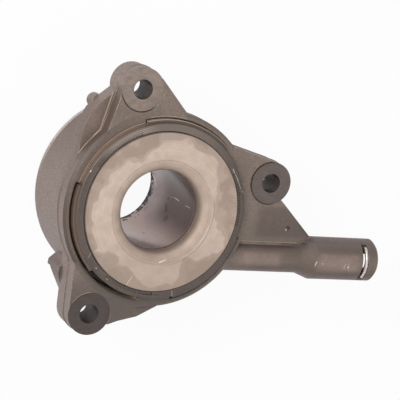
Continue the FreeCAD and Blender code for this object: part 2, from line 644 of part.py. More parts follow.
def cut_seats(body):
    """Bolt seats, crescent grooves beside two of them, and the bolt holes."""
    floor = "Sheet.front_z - Sheet.spotface_depth - Sheet.relief_depth"
    for ear in ("right", "top"):
        x, y = ear_centre(ear)
        shift = f"(Sheet.relief_{ear} + Sheet.relief_fade) / 2"
        relief = new_sketch(body, "XY_Plane", f"relief_{ear}_sketch", lift="Sheet.front_z")
        centre = shifted((x, y), shift, f"Sheet.relief_{ear}_deg")
        circle(relief, *centre, f"Sheet.spotface_r + Sheet.relief_{ear} - {shift}")
        sunk(body, relief, f"relief_{ear}", "Sheet.spotface_depth + Sheet.relief_depth")
        disc = new_sketch(body, "XY_Plane", f"seat_disc_{ear}_sketch", lift=floor)
        circle(disc, x, y, "Sheet.spotface_r - Sheet.relief_step")
        raised(body, disc, f"seat_disc_{ear}", "Sheet.relief_depth")
    for ear in EARS:
        x, y = ear_centre(ear)
        seat = new_sketch(body, "XY_Plane", f"seat_{ear}_sketch", lift="Sheet.front_z")
        circle(seat, x, y, "Sheet.spotface_r")
        sunk(body, seat, f"seat_{ear}", "Sheet.spotface_depth")
    bolts = new_sketch(body, "XY_Plane", "bolt_sketch", lift="Sheet.front_z")
    for ear in EARS:
        x, y = ear_centre(ear)
        circle(bolts, x, y, "Sheet.bolt_hole_dia / 2")
    doc.recompute()
    hole = body.newObject("PartDesign::Hole", "bolt_holes")
    hole.Profile = bolts
    hole.Threaded = False
    hole.DepthType = "ThroughAll"
    hole.Diameter = number("Sheet.bolt_hole_dia")
    hole.setExpression("Diameter", "Sheet.bolt_hole_dia")
    bolts.Visibility = False
    doc.recompute()


def cut_port(body):
    """Plug bore, fluid passage, clip slot and leg slots in the port tube."""
    sketch = new_sketch(body, "XZ_Plane", "port_bore_sketch", lift="-Sheet.port_y")
    sketch.setExpression("AttachmentOffset.Base.y", "Sheet.mid_z")
    outline(sketch, [
        ("Sheet.gallery_x", "0"),
        ("Sheet.gallery_x", "Sheet.passage_r"),
        ("Sheet.port_seat_x", "Sheet.passage_r"),
        ("Sheet.port_seat_x", "Sheet.port_seat_r"),
        ("Sheet.port_bore_x", "Sheet.port_seat_r"),
        ("Sheet.port_bore_x + 1", "Sheet.port_bore_r"),
        ("Sheet.port_end_x - Sheet.port_lead", "Sheet.port_bore_r"),
        ("Sheet.port_end_x", "Sheet.port_bore_r + Sheet.port_lead"),
        ("Sheet.port_end_x + 1", "Sheet.port_bore_r + Sheet.port_lead"),
        ("Sheet.port_end_x + 1", "0"),
    ])
    spun(body, sketch, "port_bore", "H_Axis", True)
    slot = new_sketch(body, "XY_Plane", "slot_sketch", lift="Sheet.mid_z + Sheet.slot_height")
    outline(slot, [
        ("Sheet.slot_x", "Sheet.port_y - Sheet.port_r - 1"),
        ("Sheet.slot_x + Sheet.slot_width", "Sheet.port_y - Sheet.port_r - 1"),
        ("Sheet.slot_x + Sheet.slot_width", "Sheet.port_y + Sheet.port_r + 1"),
        ("Sheet.slot_x", "Sheet.port_y + Sheet.port_r + 1"),
    ])
    sunk(body, slot, "slot", "Sheet.port_r", True)
    for side, sign in (("a", "+"), ("b", "-")):
        legs = new_sketch(body, "XY_Plane", f"leg_{side}_sketch",
                          lift="Sheet.mid_z + Sheet.slot_height + 0.5")
        middle = f"Sheet.port_y {sign} Sheet.leg_offset"
        outline(legs, [
            ("Sheet.slot_x", f"{middle} - Sheet.leg_slot_width / 2"),
            ("Sheet.slot_x + Sheet.slot_width", f"{middle} - Sheet.leg_slot_width / 2"),
            ("Sheet.slot_x + Sheet.slot_width", f"{middle} + Sheet.leg_slot_width / 2"),
            ("Sheet.slot_x", f"{middle} + Sheet.leg_slot_width / 2"),
        ])
        sunk(body, legs, f"leg_slot_{side}", "Sheet.leg_slot_depth")


def plug_seat_depth(channel_r):
    """Depth of a seat whose floor meets the plug ball at the channel's edge."""
    reach = f"sqrt(Sheet.plug_r ^ 2 - ({channel_r}) ^ 2)"
    return f"Sheet.plug_depth + 1 + {reach} + Sheet.plug_gap"


def cut_channels(body):
    """Rising channel and cross channel, with seats for their plug balls."""
    rise = new_sketch(body, "XY_Plane", "rise_sketch", lift="Sheet.gallery_rear_z - 1")
    circle(rise, "Sheet.gallery_x", "Sheet.port_y", "Sheet.gallery_r")
    sunk(body, rise, "rise", "Sheet.mid_z - Sheet.gallery_rear_z + 1", True)
    seat = new_sketch(body, "XY_Plane", "rise_plug_sketch", lift="Sheet.gallery_rear_z - 1")
    circle(seat, "Sheet.gallery_x", "Sheet.port_y", "Sheet.plug_r + Sheet.plug_gap")
    sunk(body, seat, "rise_plug", plug_seat_depth("Sheet.gallery_r"), True)
    outer = "Sheet.gallery_boss_x + Sheet.gallery_boss_r"
    cross = new_sketch(body, "YZ_Plane", "cross_sketch", lift=f"{outer} + 1")
    circle(cross, "Sheet.port_y", "Sheet.cross_z", "Sheet.cross_r")
    sunk(body, cross, "cross", f"{outer} + 1 - Sheet.cross_in_x")
    plug = new_sketch(body, "YZ_Plane", "cross_plug_sketch", lift=f"{outer} + 1")
    circle(plug, "Sheet.port_y", "Sheet.cross_z", "Sheet.plug_r + Sheet.plug_gap")
    sunk(body, plug, "cross_plug", plug_seat_depth("Sheet.cross_r"))


def cut_cores(body):
    """Core pockets in the rear face, with ribs left between them."""
    for i in range(int(number("Sheet.core_count"))):
        start = f"Sheet.core_start_deg + {i} * Sheet.core_pitch_deg"
        turned(body, f"core_{i}", [
            ("Sheet.core_in_r", "Sheet.drum_rear_z - 1"),
            ("Sheet.core_in_r", "Sheet.drum_rear_z + Sheet.core_depth"),
            ("Sheet.core_out_r", "Sheet.drum_rear_z + Sheet.core_depth"),
            ("Sheet.core_out_r", "Sheet.drum_rear_z - 1"),
        ], cut=True, start=start, span="Sheet.core_span_deg")


def make_housing():
    """Die-cast housing with drum, ears, port tube and pilot spigot."""
    body = new_body("housing")
    add_drum(body)
    add_arms(body)
    add_ledge(body)
    add_web(body)
    add_port(body)
    add_gusset(body)
    cut_inside(body)
    cut_cutouts(body)
    cut_seats(body)
    cut_port(body)
    cut_channels(body)
    cut_cores(body)
    return body


def simple_turned(name, points):
    """Body made of one outline turned about the bore axis."""
    body = new_body(name)
    turned(body, name + "_ring", points)
    return body


def make_guide_tube():
    """Steel guide tube with a rear flange, pressed into the spigot."""
    rear = "Sheet.spigot_rear_z"
    return simple_turned("guide_tube", [
        ("Sheet.tube_in_r", f"{rear} + Sheet.tube_edge"),
        ("Sheet.tube_in_r", "Sheet.tube_top_z - Sheet.tube_edge"),
        ("Sheet.tube_in_r + Sheet.tube_edge", "Sheet.tube_top_z"),
        ("Sheet.tube_out_r - Sheet.tube_edge", "Sheet.tube_top_z"),
        ("Sheet.tube_out_r", "Sheet.tube_top_z - Sheet.tube_edge"),
        ("Sheet.tube_out_r", f"{rear} + Sheet.tube_flange_t"),
        ("Sheet.tube_flange_r", f"{rear} + Sheet.tube_flange_t"),
        ("Sheet.tube_flange_r", f"{rear} + 0.2"),
        ("Sheet.tube_flange_r - 0.2", rear),
        ("Sheet.tube_in_r + Sheet.tube_edge", rear),
    ])


def make_tube_seal():
    """Rubber seal ring between guide tube and spigot."""
    body = new_body("tube_seal_ring")
    sketch = new_sketch(body, "XZ_Plane", "tube_seal_sketch")
    circle(sketch, "Sheet.tube_out_r + Sheet.tube_ring_r", "Sheet.tube_ring_z",
           "Sheet.tube_ring_r - Sheet.tube_fit")
    spun(body, sketch, "tube_seal_cord", "V_Axis")
    return body


def make_piston():
    """Ring piston with two guide lands, band grooves and a nose."""
    inner = "Sheet.tube_out_r + Sheet.slide_gap"
    outer = "Sheet.cylinder_r - Sheet.slide_gap"
    rear = "Sheet.piston_rear_z"
    body = simple_turned("piston", [
        (inner, rear),
        (inner, f"{rear} + Sheet.piston_land"),
        (f"{inner} + Sheet.piston_skirt", f"{rear} + Sheet.piston_land + 0.6"),
        (f"{inner} + Sheet.piston_skirt", "Sheet.piston_front_z - Sheet.piston_land + 1.4"),
        (inner, "Sheet.piston_front_z - Sheet.piston_land + 2"),
        (inner, "Sheet.piston_nose_z"),
        ("Sheet.piston_nose_r", "Sheet.piston_nose_z"),
        ("Sheet.piston_nose_r", "Sheet.piston_front_z"),
        (outer, "Sheet.piston_front_z"),
        (outer, f"{rear} + 0.4"),
        (f"{outer} - 0.4", rear),
    ])
    middle = "(Sheet.tube_out_r + Sheet.cylinder_r) / 2"
    turned(body, "clasp_groove", [
        (f"{middle} - Sheet.clasp_half", f"{rear} - 1"),
        (f"{middle} - Sheet.clasp_half", "Sheet.clasp_front_z"),
        (f"{middle} + Sheet.clasp_half", "Sheet.clasp_front_z"),
        (f"{middle} + Sheet.clasp_half", f"{rear} - 1"),
    ], cut=True)
    turned(body, "clasp_undercut", [
        (f"{middle} - Sheet.clasp_half - Sheet.clasp_bead", f"{rear} + 0.9"),
        (f"{middle} - Sheet.clasp_half - Sheet.clasp_bead", "Sheet.clasp_front_z"),
        (f"{middle} + Sheet.clasp_half + Sheet.clasp_bead", "Sheet.clasp_front_z"),
        (f"{middle} + Sheet.clasp_half + Sheet.clasp_bead", f"{rear} + 0.9"),
    ], cut=True)
    turned(body, "band_groove", [
        (f"{outer} - Sheet.band_t", f"{rear} + Sheet.piston_land / 2 - Sheet.band_half"),
        (f"{outer} + 1", f"{rear} + Sheet.piston_land / 2 - Sheet.band_half"),
        (f"{outer} + 1", f"{rear} + Sheet.piston_land / 2 + Sheet.band_half"),
        (f"{outer} - Sheet.band_t", f"{rear} + Sheet.piston_land / 2 + Sheet.band_half"),
    ], cut=True)
    return body


def make_guide_band():
    """Slippery guide band in the piston's groove."""
    outer = "Sheet.cylinder_r - Sheet.slide_gap"
    middle = "Sheet.piston_rear_z + Sheet.piston_land / 2"
    return simple_turned("piston_guide_band", [
        (f"{outer} - Sheet.band_t", f"{middle} - Sheet.band_half"),
        (f"{outer} + Sheet.slide_gap / 2", f"{middle} - Sheet.band_half"),
        (f"{outer} + Sheet.slide_gap / 2", f"{middle} + Sheet.band_half"),
        (f"{outer} - Sheet.band_t", f"{middle} + Sheet.band_half"),
    ])


def make_piston_seal():
    """Double-lip rubber seal behind the piston."""
    inner = "Sheet.tube_out_r + Sheet.seal_gap"
    outer = "Sheet.cylinder_r - Sheet.seal_gap"
    middle = "(Sheet.tube_out_r + Sheet.cylinder_r) / 2"
    return simple_turned("piston_seal", [
        (inner, "Sheet.seal_rear_z"),
        (f"{inner} + Sheet.seal_lip_t", "Sheet.seal_rear_z"),
        (f"{middle} - 0.8", "Sheet.seal_notch_z"),
        (f"{middle} + 0.8", "Sheet.seal_notch_z"),
        (f"{outer} - Sheet.seal_lip_t", "Sheet.seal_rear_z"),
        (outer, "Sheet.seal_rear_z"),
        (f"{outer} - Sheet.seal_neck", "Sheet.seal_notch_z - 0.6"),
        (f"{outer} - Sheet.seal_neck", "Sheet.piston_rear_z"),
        (f"{middle} + Sheet.clasp_half", "Sheet.piston_rear_z"),
        (f"{middle} + Sheet.clasp_half", "Sheet.piston_rear_z - 1.4"),
        (f"{middle} - Sheet.clasp_half", "Sheet.piston_rear_z - 1.4"),
        (f"{middle} - Sheet.clasp_half", "Sheet.piston_rear_z"),
        (f"{inner} + Sheet.seal_neck", "Sheet.piston_rear_z"),
        (f"{inner} + Sheet.seal_neck", "Sheet.seal_notch_z - 0.6"),
    ])


def make_seal_clasp():
    """Plastic clasp that joins the seal to the piston."""
    middle = "(Sheet.tube_out_r + Sheet.cylinder_r) / 2"
    half = "(Sheet.clasp_half - Sheet.clasp_gap)"
    bead = "Sheet.clasp_half + Sheet.clasp_bead - 0.15"
    return simple_turned("seal_clasp", [
        (f"{middle} - {half}", "Sheet.piston_rear_z - 1.4"),
        (f"{middle} + {half}", "Sheet.piston_rear_z - 1.4"),
        (f"{middle} + {half}", "Sheet.piston_rear_z + 0.9"),
        (f"{middle} + {bead}", "Sheet.piston_rear_z + 1"),
        (f"{middle} + {half} - 0.1", "Sheet.clasp_front_z - 0.1"),
        (f"{middle} - {half} + 0.1", "Sheet.clasp_front_z - 0.1"),
        (f"{middle} - ({bead})", "Sheet.piston_rear_z + 1"),
        (f"{middle} - {half}", "Sheet.piston_rear_z + 0.9"),
    ])


def make_wiper():
    """Wiper ring seated in the front end of the pressure cylinder."""
    top = "Sheet.barrel_top_z"
    return simple_turned("piston_wiper", [
        ("Sheet.cylinder_r + 0.4", f"{top} - Sheet.wiper_seat_depth"),
        ("Sheet.wiper_seat_r", f"{top} - Sheet.wiper_seat_depth"),
        ("Sheet.wiper_seat_r", f"{top} - 0.3"),
        ("Sheet.wiper_seat_r - 0.3", top),
        ("Sheet.cylinder_r + 0.9", top),
        ("Sheet.cylinder_r - Sheet.seal_gap", f"{top} + 1"),
        ("Sheet.cylinder_r - Sheet.seal_gap", f"{top} + 0.5"),
        ("Sheet.cylinder_r + 0.4", f"{top} - 0.8"),
    ])


def make_spring_seat():
    """Steel seat washer with a small inner collar under the spring."""
    floor = "Sheet.spring_floor_z"
    return simple_turned("spring_seat", [
        ("Sheet.spring_seat_in_r", floor),
        ("Sheet.spring_seat_out_r", floor),
        ("Sheet.spring_seat_out_r", f"{floor} + Sheet.spring_seat_t"),
        ("Sheet.spring_seat_in_r + 1", f"{floor} + Sheet.spring_seat_t"),
        ("Sheet.spring_seat_in_r + 1", f"{floor} + Sheet.spring_seat_t + 1.6"),
        ("Sheet.spring_seat_in_r", f"{floor} + Sheet.spring_seat_t + 1.6"),
    ])


def make_preload_spring():
    """Preload spring with ground ends between its seat and the carrier."""
    low = "Sheet.spring_floor_z + Sheet.spring_seat_t"
    rise = f"(Sheet.piston_front_z - ({low}))"
    wire = "Sheet.spring_wire_r"
    helix = doc.addObject("Part::Helix", "spring_path")
    helix.Radius = number("Sheet.spring_r")
    helix.setExpression("Radius", "Sheet.spring_r")
    helix.Height = number(f"{rise} - {wire}")
    helix.setExpression("Height", f"{rise} - {wire}")
    helix.Pitch = number(f"({rise} - {wire}) / Sheet.spring_turns")
    helix.setExpression("Pitch", f"({rise} - {wire}) / Sheet.spring_turns")
    helix.Placement.Base = FreeCAD.Vector(0, 0, number(f"{low} + {wire} / 2"))
    helix.setExpression("Placement.Base.z", f"{low} + {wire} / 2")
    round_wire = doc.addObject("Part::Circle", "spring_wire")
    round_wire.Radius = number(wire)
    round_wire.setExpression("Radius", wire)
    start = FreeCAD.Vector(number("Sheet.spring_r"), 0, number(f"{low} + {wire} / 2"))
    upright = FreeCAD.Rotation(FreeCAD.Vector(1, 0, 0), 90)
    round_wire.Placement = FreeCAD.Placement(start, upright)
    round_wire.setExpression("Placement.Base.x", "Sheet.spring_r")
    round_wire.setExpression("Placement.Base.z", f"{low} + {wire} / 2")
    coil = doc.addObject("Part::Sweep", "spring_coil")
    coil.Sections = [round_wire]
    coil.Spine = (helix, ["Edge1"])
    coil.Solid = True
    coil.Frenet = True
    limits = doc.addObject("Part::Cylinder", "spring_limits")
    limits.Radius = number("Sheet.spring_r") + 10
    limits.setExpression("Radius", "Sheet.spring_r + 10")
    limits.Height = number(rise)
    limits.setExpression("Height", rise)
    limits.Placement.Base = FreeCAD.Vector(0, 0, number(low))
    limits.setExpression("Placement.Base.z", low)
    spring = doc.addObject("Part::MultiCommon", "preload_spring")
    spring.Shapes = [coil, limits]
    spring.Label = "preload_spring"
    doc.recompute()
    return spring


def make_carrier():
    """Bearing carrier: cup with guide lugs and three ribbed rim pockets."""
    floor = "Sheet.piston_front_z"
    top = "Sheet.carrier_top_z"
    body = simple_turned("bearing_carrier", [
        ("Sheet.carrier_hole_r", floor),
        ("Sheet.carrier_skirt_r", floor),
        ("Sheet.carrier_skirt_r", "Sheet.carrier_skirt_z"),
        ("Sheet.carrier_out_r", "Sheet.carrier_skirt_z"),
        ("Sheet.carrier_out_r", f"{top} - 0.3"),
        ("Sheet.carrier_out_r - 0.3", top),
        ("Sheet.carrier_in_r", top),
        ("Sheet.carrier_in_r", "Sheet.clip_seat_z + Sheet.clip_seat_t"),
        ("Sheet.clip_seat_r", "Sheet.clip_seat_z + Sheet.clip_seat_t"),
        ("Sheet.clip_seat_r", "Sheet.clip_seat_z"),
        ("Sheet.carrier_in_r", "Sheet.clip_seat_z"),
        ("Sheet.carrier_in_r", f"{floor} + Sheet.carrier_floor_t"),
        ("Sheet.carrier_hole_r", f"{floor} + Sheet.carrier_floor_t"),
    ])
    span = "Sheet.cutout_span_deg - 2 * Sheet.lug_gap_deg"
    for mark in ("a", "b", "c"):
        start = f"Sheet.cutout_{mark}_deg + Sheet.lug_gap_deg"
        turned(body, f"lug_{mark}", [
            ("Sheet.carrier_out_r - 0.8", "Sheet.lug_rear_z"),
            (f"Sheet.lug_{mark}_r", "Sheet.lug_rear_z"),
            (f"Sheet.lug_{mark}_r", "Sheet.lug_top_z"),
            ("Sheet.carrier_out_r - 0.8", "Sheet.lug_top_z"),
        ], start=start, span=span)
    for mark in ("a", "b", "c"):
        turned(body, f"window_{mark}", [
            ("Sheet.carrier_in_r - 0.5", f"{top} + 1"),
            ("Sheet.carrier_in_r - 0.5", f"{top} - Sheet.window_depth"),
            ("Sheet.window_out_r", f"{top} - Sheet.window_depth"),
            ("Sheet.window_out_r", f"{top} + 1"),
        ], cut=True, start=f"Sheet.window_{mark}_deg", span="Sheet.window_span_deg")
        add_rim_ribs(body, mark)
    return body


def add_rim_ribs(body, mark):
    """Row of radial ribs across one rim pocket."""
    half = "Sheet.window_rib_t / 2"
    base = "Sheet.carrier_top_z - Sheet.window_depth"
    sketch = new_sketch(body, "XY_Plane", f"rim_rib_{mark}_sketch", lift=f"{base} - 0.2",
                        turn=f"Sheet.window_{mark}_deg + Sheet.window_rib_pitch_deg")
    outline(sketch, [
        ("Sheet.carrier_in_r + 0.1", f"-{half}"),
        ("Sheet.window_out_r + 0.2", f"-{half}"),
        ("Sheet.window_out_r + 0.2", half),
        ("Sheet.carrier_in_r + 0.1", half),
    ])
    height = "Sheet.window_depth + 0.2 - Sheet.window_rib_low"
    rib = raised(body, sketch, f"rim_rib_{mark}", height)
    row_of = body.newObject("PartDesign::PolarPattern", f"rim_ribs_{mark}")
    axis = [f for f in body.Origin.OriginFeatures if f.Role == "Z_Axis"][0]
    row_of.Originals = [rib]
    row_of.Axis = (axis, [""])
    row_of.Angle = number("(Sheet.window_rib_count - 1) * Sheet.window_rib_pitch_deg")
    row_of.setExpression("Angle", "(Sheet.window_rib_count - 1) * Sheet.window_rib_pitch_deg * 1 deg")
    row_of.Occurrences = int(number("Sheet.window_rib_count"))
    row_of.setExpression("Occurrences", "Sheet.window_rib_count")
    body.Tip = row_of
    doc.recompute()


def make_retainer():
    """Split spring-steel ring that holds the bearing in the carrier."""
    low = "Sheet.clip_seat_z + Sheet.retainer_gap"
    high = "Sheet.clip_seat_z + Sheet.clip_seat_t - Sheet.retainer_gap"
    body = new_body("bearing_retainer")
    turned(body, "retainer_ring", [
        ("Sheet.retainer_in_r", low),
        ("Sheet.clip_seat_r - Sheet.retainer_gap", low),
        ("Sheet.clip_seat_r - Sheet.retainer_gap", high),
        ("Sheet.retainer_in_r", high),
    ], span="360 - Sheet.retainer_gap_deg")
    return body


def make_wave_washer():
    """Wave washer under the fixed bearing ring: flat ring with raised waves."""
    base = "Sheet.piston_front_z + Sheet.carrier_floor_t"
    body = simple_turned("wave_washer", [
        ("Sheet.wave_in_r", base),
        ("Sheet.wave_out_r", base),
        ("Sheet.wave_out_r", f"{base} + Sheet.wave_t"),
        ("Sheet.wave_in_r", f"{base} + Sheet.wave_t"),
    ])
    for i in range(3):
        start = f"{i} * 120"
        turned(body, f"wave_{i}", [
            ("Sheet.wave_in_r", f"{base} + Sheet.wave_t / 2"),
            ("Sheet.wave_out_r", f"{base} + Sheet.wave_t / 2"),
            ("Sheet.wave_out_r", f"{base} + Sheet.wave_t + Sheet.wave_rise * 2"),
            ("Sheet.wave_in_r", f"{base} + Sheet.wave_t + Sheet.wave_rise * 2"),
        ], start=start, span="24")
    return body


def track_cut(body, name):
    """Ball track turned into a bearing ring."""
    sketch = new_sketch(body, "XZ_Plane", name + "_sketch")
    circle(sketch, "Sheet.ball_pitch_r", "Sheet.ball_z", "Sheet.track_r")
    spun(body, sketch, name, "V_Axis", True)


def make_thrust_ring():
    """Turning bearing ring with the ground clutch face and a rolled lip."""
    face = "Sheet.face_z"
    low_face = "Sheet.face_z - Sheet.ring_step"
    body = simple_turned("thrust_ring", [
        ("Sheet.ring_bore_r", "Sheet.ring_lip_z"),
        ("Sheet.ring_bore_r", low_face),
        ("Sheet.ring_step_r", low_face),
        ("Sheet.ring_step_r + Sheet.ring_step", face),
        ("Sheet.ring_r - Sheet.ring_edge", face),
        ("Sheet.ring_r", f"{face} - Sheet.ring_edge"),
        ("Sheet.ring_r", "Sheet.ring_rim_z"),
        ("Sheet.ring_rim_in_r", "Sheet.ring_rim_z"),
        ("Sheet.ring_rim_in_r", "Sheet.ring_plate_z"),
        ("Sheet.ring_track_r", "Sheet.ring_plate_z"),
        ("Sheet.ring_track_r", "Sheet.ball_z + 3.1"),
        ("Sheet.ball_pitch_r - 3.5", "Sheet.ball_z - 0.8"),
        ("Sheet.ring_sleeve_out_r", "Sheet.ball_z - 0.8"),
        ("Sheet.ring_sleeve_out_r", "Sheet.ring_sleeve_z"),
        ("Sheet.ring_sleeve_in_r", "Sheet.ring_sleeve_z"),
        ("Sheet.ring_sleeve_in_r", "Sheet.ring_lip_z"),
    ])
    track_cut(body, "ring_track")
    last = body.Tip
    lip = rings_at(last, number("Sheet.ring_bore_r"), number(low_face))
    rounded(body, "ring_lip", last, lip, "Sheet.ring_lip_round")
    return body


def make_race():
    """Fixed bearing ring, seated in the carrier."""
    body = simple_turned("bearing_fixed_ring", [
        ("Sheet.race_in_r", "Sheet.race_rear_z"),
        ("Sheet.race_r - 0.4", "Sheet.race_rear_z"),
        ("Sheet.race_r", "Sheet.race_rear_z + 0.4"),
        ("Sheet.race_r", "Sheet.race_top_z"),
        ("Sheet.race_lip_r", "Sheet.race_top_z"),
        ("Sheet.race_lip_r", "Sheet.dust_rear_z"),
        ("Sheet.ball_pitch_r + 3.5", "Sheet.ball_z + 0.5"),
        ("Sheet.race_in_r", "Sheet.ball_z - 3"),
    ])
    track_cut(body, "race_track")
    return body


def make_cage():
    """Conical ball cage with a pocket for every ball."""
    body = new_body("ball_cage")
    half = "Sheet.cage_half_length * 0.70711"
    thin = "Sheet.cage_half_t * 0.70711"
    turned(body, "cage_cone", [
        (f"Sheet.ball_pitch_r - {half} + {thin}", f"Sheet.ball_z - {half} - {thin}"),
        (f"Sheet.ball_pitch_r + {half} + {thin}", f"Sheet.ball_z + {half} - {thin}"),
        (f"Sheet.ball_pitch_r + {half} - {thin}", f"Sheet.ball_z + {half} + {thin}"),
        (f"Sheet.ball_pitch_r - {half} - {thin}", f"Sheet.ball_z - {half} + {thin}"),
    ])
    pocket = body.newObject("PartDesign::SubtractiveSphere", "cage_pocket")
    pocket.Radius = number("Sheet.ball_r + Sheet.pocket_gap")
    pocket.setExpression("Radius", "Sheet.ball_r + Sheet.pocket_gap")
    plane = [f for f in body.Origin.OriginFeatures if f.Role == "XY_Plane"][0]
    pocket.AttachmentSupport = [(plane, "")]
    pocket.MapMode = "FlatFace"
    place = FreeCAD.Vector(number("Sheet.ball_pitch_r"), 0, number("Sheet.ball_z"))
    pocket.AttachmentOffset = FreeCAD.Placement(place, FreeCAD.Rotation())
    pocket.setExpression("AttachmentOffset.Base.x", "Sheet.ball_pitch_r")
    pocket.setExpression("AttachmentOffset.Base.z", "Sheet.ball_z")
    doc.recompute()
    ring = body.newObject("PartDesign::PolarPattern", "cage_pockets")
    axis = [f for f in body.Origin.OriginFeatures if f.Role == "Z_Axis"][0]
    ring.Originals = [pocket]
    ring.Axis = (axis, [""])
    ring.Angle = 360
    ring.Occurrences = int(number("Sheet.ball_count"))
    ring.setExpression("Occurrences", "Sheet.ball_count")
    body.Tip = ring
    doc.recompute()
    return body


def make_balls():
    """Ring of steel balls, one group of separate solids."""
    balls = []
    for i in range(int(number("Sheet.ball_count"))):
        ball = doc.addObject("Part::Sphere", f"ball_{i}")
        ball.Radius = number("Sheet.ball_r")
        ball.setExpression("Radius", "Sheet.ball_r")
        x, y = polar("Sheet.ball_pitch_r", f"{i} * 360 / Sheet.ball_count")
        ball.Placement.Base = FreeCAD.Vector(number(x), number(y), number("Sheet.ball_z"))
        ball.setExpression("Placement.Base.x", x)
        ball.setExpression("Placement.Base.y", y)
        ball.setExpression("Placement.Base.z", "Sheet.ball_z")
        balls.append(ball)
    return grouped("bearing_balls", balls)


def grouped(name, members):
    """Group of separate solids handed in as one node."""
    group = doc.addObject("Part::Compound", name)
    group.Label = name
    group.Links = members
    doc.recompute()
    return group


def make_front_seal():
    """Rubber seal between the bearing rings, on the clutch side."""
    return simple_turned("bearing_front_seal", [
        ("Sheet.dust_in_r", "Sheet.dust_rear_z"),
        ("Sheet.race_lip_r", "Sheet.dust_rear_z"),
        ("Sheet.race_lip_r", "Sheet.race_top_z"),
        ("Sheet.dust_out_r", "Sheet.race_top_z"),
        ("Sheet.dust_out_r", "Sheet.race_top_z + 0.8"),
        ("Sheet.race_lip_r", "Sheet.race_top_z + 0.9"),
        ("Sheet.dust_lip_r + 0.5", "Sheet.dust_top_z"),
        ("Sheet.dust_lip_r", "Sheet.dust_top_z"),
        ("Sheet.dust_in_r", "Sheet.race_top_z + 0.4"),
    ])


def make_rear_shield():
    """Thin steel shield between the bearing rings, on the piston side."""
    return simple_turned("bearing_rear_shield", [
        ("Sheet.shield_in_r", "Sheet.shield_front_z - 0.5"),
        ("Sheet.race_in_r - 0.6", "Sheet.shield_front_z - 0.5"),
        ("Sheet.race_in_r - 0.6", "Sheet.shield_rear_z"),
        ("Sheet.race_in_r", "Sheet.shield_rear_z"),
        ("Sheet.race_in_r", "Sheet.shield_front_z"),
        ("Sheet.shield_in_r", "Sheet.shield_front_z"),
    ])


def make_channel_plugs():
    """Two steel balls that close the drilled channels."""
    low = doc.addObject("Part::Sphere", "plug_low")
    side = doc.addObject("Part::Sphere", "plug_side")
    outer = "Sheet.gallery_boss_x + Sheet.gallery_boss_r"
    places = (
        (low, "Sheet.gallery_x", "Sheet.gallery_rear_z + Sheet.plug_depth"),
        (side, f"{outer} - Sheet.plug_depth", "Sheet.cross_z"),
    )
    for ball, x, z in places:
        ball.Radius = number("Sheet.plug_r")
        ball.setExpression("Radius", "Sheet.plug_r")
        ball.Placement.Base = FreeCAD.Vector(number(x), number("Sheet.port_y"), number(z))
        ball.setExpression("Placement.Base.x", x)
        ball.setExpression("Placement.Base.y", "Sheet.port_y")
        ball.setExpression("Placement.Base.z", z)
    return grouped("channel_plugs", [low, side])


def make_port_clip():
    """Spring wire clip: a bow over the port tube and two straight legs."""
    x = number("Sheet.clip_x")
    y = number("Sheet.port_y")
    z = number("Sheet.mid_z")
    bow = number("Sheet.clip_bow_r")
    leg = number("Sheet.leg_offset")
    wire = number("Sheet.clip_wire_r")
    lift = (bow ** 2 - leg ** 2) ** 0.5
    foot = lift - number("Sheet.clip_leg_length")
    left = FreeCAD.Vector(x, y - leg, z + lift)
    right = FreeCAD.Vector(x, y + leg, z + lift)
    low_left = FreeCAD.Vector(x, y - leg, z + foot)
    low_right = FreeCAD.Vector(x, y + leg, z + foot)
    crown = Part.Arc(left, FreeCAD.Vector(x, y, z + bow), right).toShape()
    path = Part.Wire([Part.makeLine(low_left, left), crown, Part.makeLine(right, low_right)])
    section = Part.Wire([Part.makeCircle(wire, low_left, FreeCAD.Vector(0, 0, 1))])
    clip = doc.addObject("Part::Feature", "port_clip")
    clip.Shape = path.makePipeShell([section], True, True, 2)
    clip.Label = "port_clip"
    return clip


MAKERS = (
    make_housing, make_guide_tube, make_tube_seal, make_channel_plugs, make_port_clip,
    make_piston, make_guide_band, make_piston_seal, make_seal_clasp, make_wiper,
    make_spring_seat, make_preload_spring, make_carrier, make_retainer, make_wave_washer,
    make_race, make_thrust_ring, make_cage, make_balls, make_front_seal, make_rear_shield,
)

parts = [make() for make in MAKERS]
doc.recompute()
for item in doc.Objects:
    if "Invalid" in item.State or "Error" in item.State:
        raise RuntimeError(f"{item.Name} did not build: {item.State}")
os.makedirs("parts", exist_ok=True)
for part in parts:
    if part.Shape.isNull() or not part.Shape.isValid():
        raise RuntimeError(f"{part.Label} has no valid shape")
    part.Shape.exportStep(f"parts/{part.Label}.step")
print(len(parts), "nodes written")
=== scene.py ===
import math
from types import SimpleNamespace

import bpy
import numpy as np
from mathutils import Euler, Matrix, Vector

# Concentric slave cylinder: an anodised casting with three ears and a pipe
# tube, a bright release bearing in a dark plastic carrier, and a steel guide tube.
# Places and lengths below are in millimetres on the part's own axes, with the bore
# along z at x 0 and y 0, and angles are in degrees. Lamps and the camera are in metres.

MM = 0.001
TO_MM = (1000, 1000, 1000)
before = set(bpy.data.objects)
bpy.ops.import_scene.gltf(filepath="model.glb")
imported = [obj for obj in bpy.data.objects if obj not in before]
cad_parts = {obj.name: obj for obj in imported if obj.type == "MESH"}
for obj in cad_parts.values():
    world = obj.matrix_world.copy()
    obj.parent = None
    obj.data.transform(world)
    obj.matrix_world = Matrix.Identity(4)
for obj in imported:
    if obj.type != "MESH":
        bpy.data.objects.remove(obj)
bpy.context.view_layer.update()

# Levels: the bearing's face, the carrier's rim, the front of its lugs, the front of
# the casting, the ears' seats, the crown of the pipe tube, the front end of the guide
# tube and the rear end of the part.
FACE_Z = 20.0
RIM_Z = 19.2
LUG_Z = 17.8
FRONT_Z = 16.0
SEAT_Z = 15.3
CROWN_Z = 18.1
GUIDE_Z = 14.5
REAR_Z = -40.0

